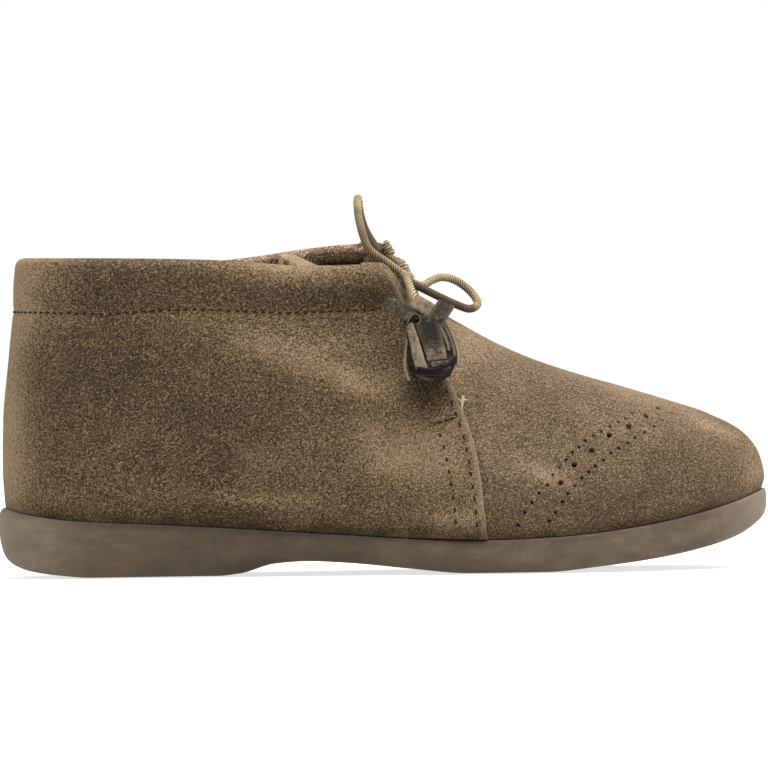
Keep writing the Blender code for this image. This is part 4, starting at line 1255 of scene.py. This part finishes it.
class Tab:
    """One tab, gathered from straps of leather wound round a core.

    Its places are across, down and out from the neck.
    """

    def __init__(self, side):
        self.top = np.array(TAB_TOPS[side])
        down = unit(TAB_BOTTOMS[side] - self.top)
        across = np.array((1.0, 0.0, 0.0))
        across = unit(across - down * across.dot(down))
        proud = np.cross(across, down)
        self.axes = np.array((across, down, proud * np.sign(proud[1] * side)))
        self.points, self.faces, self.kinds, self.light, self.raw = [], [], [], [], []

    def add(self, rings, kind, light, raw):
        """A tube from rings of places, with the lightness and wear of each."""
        count, around, _ = rings.shape
        faces = tube_faces(count, around, len(self.points))
        self.points.extend(self.top + rings.reshape(-1, 3) @ self.axes)
        self.faces.extend(faces)
        self.kinds.extend([kind] * len(faces))
        for marks, values in ((self.light, light), (self.raw, raw)):
            marks.extend(np.broadcast_to(values, (count, around)).flat)

    def core(self):
        drops = np.linspace(0, TAB_RINGS["down"][-1], CORE_RINGS)
        half, depth = (curve(TAB_RINGS["down"], TAB_RINGS[k], drops)[:, None] for k in ("half", "depth"))
        angle = np.linspace(0, 2 * math.pi, CORE_AROUND, endpoint=False)
        cos, sin = (np.sign(v) * np.abs(v) ** CORE_POWER for v in (np.cos(angle), np.sin(angle)))
        places = np.stack(np.broadcast_arrays(TAB_SHIFT + half * cos, drops[:, None], depth * sin), axis=-1)
        folds = FOLDS * wave(places * (2.2, 0.5, 2.2), 3.0, 1.0)
        places[..., 0] += folds * cos
        places[..., 2] += folds * sin
        self.add(places, 0, 0.0, 0.0)

    def strap(self, kind, width, thick, light, worn, taper, facing, route):
        """A strip of leather along a route, its face turned to facing."""
        path = through(route, STRAP_STEP)
        along = lengths(path)
        ends = (0, along[-1])
        way = unit(np.gradient(path, axis=0))
        turned = sampled(along, np.linspace(*ends, len(facing)), np.array(facing, float))
        turned = unit(turned - way * (turned * way).sum(1)[:, None])
        size = width / 2 * np.interp(along, ends, (1, taper)) * (1 + 0.05 * wave(path, 2.5, 3.0))
        aside = np.cross(way, turned) * size[:, None]
        places = path[:, None] + aside[:, None] * STRAP["wide"][:, None]
        places = places + turned[:, None] * STRAP["proud"][:, None] * thick / 2
        self.add(places, kind, np.interp(along, ends, light)[:, None], STRAP["worn"] * worn)

    def finish(self, name):
        marks = {"light": self.light, "raw": self.raw}
        made = add_mesh(name, self.points, self.faces, [TAB_DARK, TAB_GREY], self.kinds, marks)
        return closed(opened(made), made)


# Straps of a tab: leather 0 dark or 1 grey, width, thickness, lightness at either end, partly painted shade,
# worn edges, narrowing, its facing at places along it, and its route
FRONT = (0.0, 0.0, 1.0)
ROUND_NECK = ((-1, 0, 0), (-0.8, -0.6, 0), (0, -1, 0), (0.8, -0.6, 0), (1, 0, 0), (0.8, 0.6, 0))
STRAPS = (
    (1, 6.4, 0.8, (-1.1, 0.4), 0.2, 0.8, (FRONT,),
     ((0.9, 2.4, 3.5), (1.1, 6.0, 4.25), (1.5, 9.6, 4.5), (1.8, 12.4, 4.25), (1.9, 13.8, 3.4))),
    (1, 2.1, 0.9, (0.2, 0.45), 0.2, 1.5, ((-0.5, 0, 1), (-0.35, 0, 1), (-0.2, 0.3, 1)),
     ((-3.8, 2.4, 3.0), (-3.4, 5.8, 3.9), (-3.1, 9.5, 4.5), (-2.8, 13.0, 4.4), (-2.3, 15.5, 3.3),
      (-2.2, 16.2, 2.4))),
    (1, 1.5, 0.4, (-0.3, -0.3), 0.2, 1.0, ROUND_NECK,
     ((-4.4, 2.3, 3.1), (-3.2, 0.4, 3.3), (-1.9, -0.2, 3.4), (-0.9, 0.8, 3.4), (-1.0, 2.2, 3.4),
      (-1.9, 3.4, 3.5))),
    (0, 2.0, 0.8, (0.0, 0.1), 0.7, 1.0, ((0.6, 0, 0.8), (0.8, 0, 0.6)),
     ((3.9, 2.6, 3.2), (4.9, 6.0, 3.5), (5.5, 9.0, 3.4), (5.7, 11.2, 2.8))),
    (0, 2.2, 0.8, (-0.1, -0.2), 0.4, 1.0, ((0.9, 0, 0.5), (1, 0, 0.2)),
     ((5.0, 2.4, 1.8), (6.1, 5.6, 1.9), (6.8, 9.4, 1.7), (6.8, 12.6, 1.5))),
    (1, 0.9, 0.7, (0.5, 0.5), 1.0, 0.6, ((0.6, 0, 0.8),),
     ((5.6, 1.6, 0.2), (6.9, 6.0, 0.4), (7.6, 10.2, 0.4), (7.2, 14.2, 0.2))),
    (1, 0.8, 0.7, (0.5, 0.5), 0.8, 0.8, ((-0.6, 0, 0.8),),
     ((-4.6, 5.6, 1.5), (-5.9, 10.6, 1.3), (-6.3, 14.2, 0.8), (-5.7, 16.9, 0.0))),
    (0, 2.2, 1.1, (-0.5, -0.5), 0.1, 1.0, ((-0.6, 0.5, 0.7), (0, 0.6, 0.9), (0.7, 0.5, 0.6)),
     ((-4.8, 14.4, 2.2), (-2.6, 16.2, 2.9), (1.2, 16.8, 2.9), (4.6, 15.6, 2.7), (6.4, 13.2, 1.9))),
    (1, 1.5, 0.9, (0.1, 0.2), 0.2, 0.4, ((0, 0.4, 0.9),),
     ((0.4, 15.2, 3.7), (2.4, 15.2, 4.1), (4.4, 14.6, 3.4))),
    (1, 1.1, 0.8, (-0.1, 0.0), 0.3, 0.7, ((0, 0.9, 0.4),),
     ((-3.6, 16.4, 2.2), (-1.8, 17.4, 1.2), (0.4, 17.7, 0.2))),
    (1, 0.9, 0.6, (-0.3, -0.1), 0.2, 0.5, ((0.3, 0.6, 0.7),),
     ((3.0, 16.9, 3.0), (4.6, 16.2, 2.8), (5.8, 15.0, 2.2))),
    (1, 4.6, 0.9, (-0.1, -0.1), 0.12, 0.9, (FRONT,),
     ((-1.4, -0.2, 1.8), (-4.4, -2.3, 2.4), (-7.0, -4.1, 2.4), (-9.2, -5.5, 1.8))),
    (1, 4.2, 0.9, (0.2, 0.5), 0.25, 0.95, (FRONT,),
     ((3.4, -0.2, 2.2), (2.5, -1.0, 2.6), (0.5, -3.1, 2.6), (-1.6, -5.2, 2.2))),
    (1, 4.6, 0.9, (-0.3, -0.15), 0.25, 1.0, (FRONT,),
     ((2.3, 4.0, 3.5), (4.2, 0.9, 4.0), (5.4, -1.0, 3.7), (6.5, -2.7, 3.2))),
)


def make_tab(side, name):
    """A tab on the lace. The far one lacks the last strap."""
    tab = Tab(side)
    tab.core()
    for row in STRAPS if side == LATERAL else STRAPS[:-1]:
        tab.strap(*row)
    return tab.finish(name)


for side, loop in ((LATERAL, "loop_front"), (MEDIAL, "loop_rear")):
    word = WORDS[side]
    tab = make_tab(side, f"{word}_tab")
    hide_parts(f"tab_{word}")
    route = [
        *out_of(side, 1), *ROUTES[f"run_{word}"][::-1], *out_of(side, 0)[::-1], *ROUTES[f"stay_{word}"],
        *KNOT_IN[side], *ROUTES[loop], *KNOT_OUT[side], *ROUTES[f"end_{word}"],
    ]
    made, path = tube(f"{word}_lace", route, DIRT_AND_SHADE[word], ROUTES[f"end_{word}"])
    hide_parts(f"lace_run_{word}", f"lace_stay_{word}", f"lace_{loop}", f"lace_end_{word}")


def make_knot():
    """The turns of lace that bind the bow, in two coils."""
    route, before = [], 0.0
    for middle, axis, radius, turns, pitch in KNOT_COILS:
        axis = unit(np.array(axis))
        one = np.cross(axis, (0, 1, 0))
        two = np.cross(axis, one)
        for share in np.linspace(0, 1, 20):
            turn = 2 * math.pi * (before + turns * share)
            out = one * math.cos(turn) + two * math.sin(turn)
            route.append(middle + axis * pitch * turns * (share - 0.5) + radius * out)
        before += turns + 0.3
    return tube("lace_turns", route, thick=KNOT_THICK)[0]


knot = make_knot()
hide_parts("lace_knot")

# Stitches: their length, thickness and flatness, how far they stand out and dive in at their ends,
# the pitch of each kind of row, and the rings and points round one
STITCH, THREAD_THICK, THREAD_FLAT = 1.45, 0.52, 0.7
STITCH_RISE, STITCH_DIVE = 0.14, 0.4
COLLAR_PITCH, FRONT_PITCH, CROSS_PITCH = 2.2, 3.3, 1.7
STITCH_RINGS, STITCH_AROUND = 6, 6
# Rows along the quarter's front edge: how far behind it, and between which heights
FRONT_ROWS = ((2.1, 11.5, 48.5), (7.4, 11.8, 39.6))
# The row across: its height in front and behind, and how far behind the edge it begins and ends
CROSS_ROW = (39.8, 38.6, 2.4, 7.6)
# How far behind the front edge the collar's row begins
COLLAR_START = 4.0


def stitches(name, lines):
    """Stitches along lines, each with its points, its outward directions and its pitch."""
    points, faces = [], []
    share = np.linspace(-1, 1, STITCH_RINGS)
    size = THREAD_THICK / 2 * np.sqrt(np.clip(1.08 - share**2, 0.05, 1))[:, None]
    rise = (STITCH_RISE - STITCH_DIVE * share**4)[:, None]
    for path, facing, pitch in lines:
        along = lengths(path)
        for begin in np.arange(0.2, along[-1] - STITCH, pitch):
            at = begin + np.linspace(0, STITCH, STITCH_RINGS)
            middle, up = sampled(at, along, path), unit(sampled(at, along, facing))
            beside = np.cross(up, unit(np.gradient(middle, axis=0)))
            faces += tube_faces(STITCH_RINGS, STITCH_AROUND, len(points))
            stitch = rings_round(middle + up * rise, beside, up * THREAD_FLAT, size, STITCH_AROUND)
            points.extend(stitch.reshape(-1, 3))
    add_mesh(name, points, faces, [THREAD])


def collar_line(side):
    """The row of stitches in the collar's seam."""
    shares = np.linspace(LAPS[side] + COLLAR_START / EDGES_LENGTH[side], 1.0, 160)
    rises = rise_at(side, shares, -seam_below(side, shares)[:, None])[:, 0]
    return on_quarter(side, shares, rises)


def share_speed(side, rises):
    """How many millimetres a share of the sole's edge is at the quarter's front edge."""
    small = 0.004
    step = skin(side, LAPS[side] + small, rises) - skin(side, LAPS[side], rises)
    return np.linalg.norm(step, axis=-1) / small


def front_line(side, behind, low, high):
    """A row of stitches behind the quarter's front edge, between two heights."""
    rises = np.linspace(0.02, 0.9, 120)
    path, facing = on_quarter(side, LAPS[side] + behind / share_speed(side, rises), rises)
    keep = (path[:, 2] > low) & (path[:, 2] < high)
    return path[keep], facing[keep]


def cross_line(side, height, low, near, far):
    """A short row of stitches across, between the two front rows, that falls from one height to another."""
    rises = np.linspace(0.02, 0.9, 200)
    heights = skin(side, LAPS[side], rises)[:, 2]
    first, last = np.interp((height, low), heights, rises)
    shares = LAPS[side] + np.linspace(near, far, 20) / share_speed(side, first)
    return on_quarter(side, shares, np.linspace(first, last, 20))


for side, word in WORDS.items():
    rows = [(*front_line(side, *row), FRONT_PITCH) for row in FRONT_ROWS]
    rows = [(*collar_line(side), COLLAR_PITCH), *rows, (*cross_line(side, *CROSS_ROW), CROSS_PITCH)]
    stitches(f"{word}_stitches", rows)

# A frayed thread at the top of the front seam: its strands in the photograph, and how thick each is
TUFT = (
    (((461.4, 397.8), (460.9, 400.4), (460.2, 404.6), (460.7, 410.8)), 1.15),
    (((460.6, 401.0), (463.0, 400.2), (466.2, 401.2)), 0.6),
    (((460.4, 403.8), (458.4, 402.2), (457.0, 399.8)), 0.75),
)
TUFT_RISE = 1.1
TUFT_AROUND, TUFT_STEP = 8, 0.2


def make_tuft():
    points, faces = [], []
    for pixels, thick in TUFT:
        spot = spots_on_vamp(pixels)
        path = through(skin(LATERAL, *spot) + outward(LATERAL, *spot) * TUFT_RISE, TUFT_STEP)
        size = thick / 2 * np.interp(np.linspace(0, 1, len(path)), (0, 0.3, 1), (0.6, 1.0, 0.3))
        faces += tube_faces(len(path), TUFT_AROUND, len(points))
        points.extend(rings_round(path, *frames(path), size[:, None], TUFT_AROUND).reshape(-1, 3))
    add_mesh("seam_tuft", points, faces, [CREAM])


make_tuft()

# Floor and light
FLOOR_HALF, FLOOR_LOW = 3.0, -0.3 * MM
FLOOR_GREY, FLOOR_GLOW = 0.4, 0.7
SUN_WAY, SUN_SOFT, SUN_POWER = (-0.34, 0.14, -1.0), 50.0, 5.4
WHITE = (1.0, 1.0, 1.0, 1.0)


def make_floor():
    mesh = bpy.data.meshes.new("floor")
    corners = [(x * FLOOR_HALF, y * FLOOR_HALF, FLOOR_LOW) for x, y in ((-1, -1), (1, -1), (1, 1), (-1, 1))]
    mesh.from_pydata(corners, [], [(0, 1, 2, 3)])
    floor = bpy.data.objects.new("floor", mesh)
    material = bpy.data.materials.new("pale_floor")
    material.use_nodes = True
    inputs = material.node_tree.nodes["Principled BSDF"].inputs
    inputs["Base Color"].default_value = (FLOOR_GREY, FLOOR_GREY, FLOOR_GREY, 1.0)
    inputs["Roughness"].default_value = 0.9
    inputs["Emission Color"].default_value = WHITE
    inputs["Emission Strength"].default_value = FLOOR_GLOW
    mesh.materials.append(material)
    bpy.context.scene.collection.objects.link(floor)


def make_light():
    world = bpy.data.worlds.new("studio")
    world.use_nodes = True
    world.node_tree.nodes["Background"].inputs["Color"].default_value = WHITE
    world.node_tree.nodes["Background"].inputs["Strength"].default_value = 1.0
    bpy.context.scene.world = world
    lamp = bpy.data.lights.new("sky_light", "SUN")
    lamp.angle = math.radians(SUN_SOFT)
    lamp.energy = SUN_POWER
    light = bpy.data.objects.new("sky_light", lamp)
    light.location = (0.3, -0.3, 1.0)
    light.rotation_euler = Vector(SUN_WAY).to_track_quat("-Z", "Y").to_euler()
    bpy.context.scene.collection.objects.link(light)
    bpy.context.scene.view_settings.view_transform = "Standard"
    bpy.context.scene.view_settings.look = "None"


make_floor()
make_light()
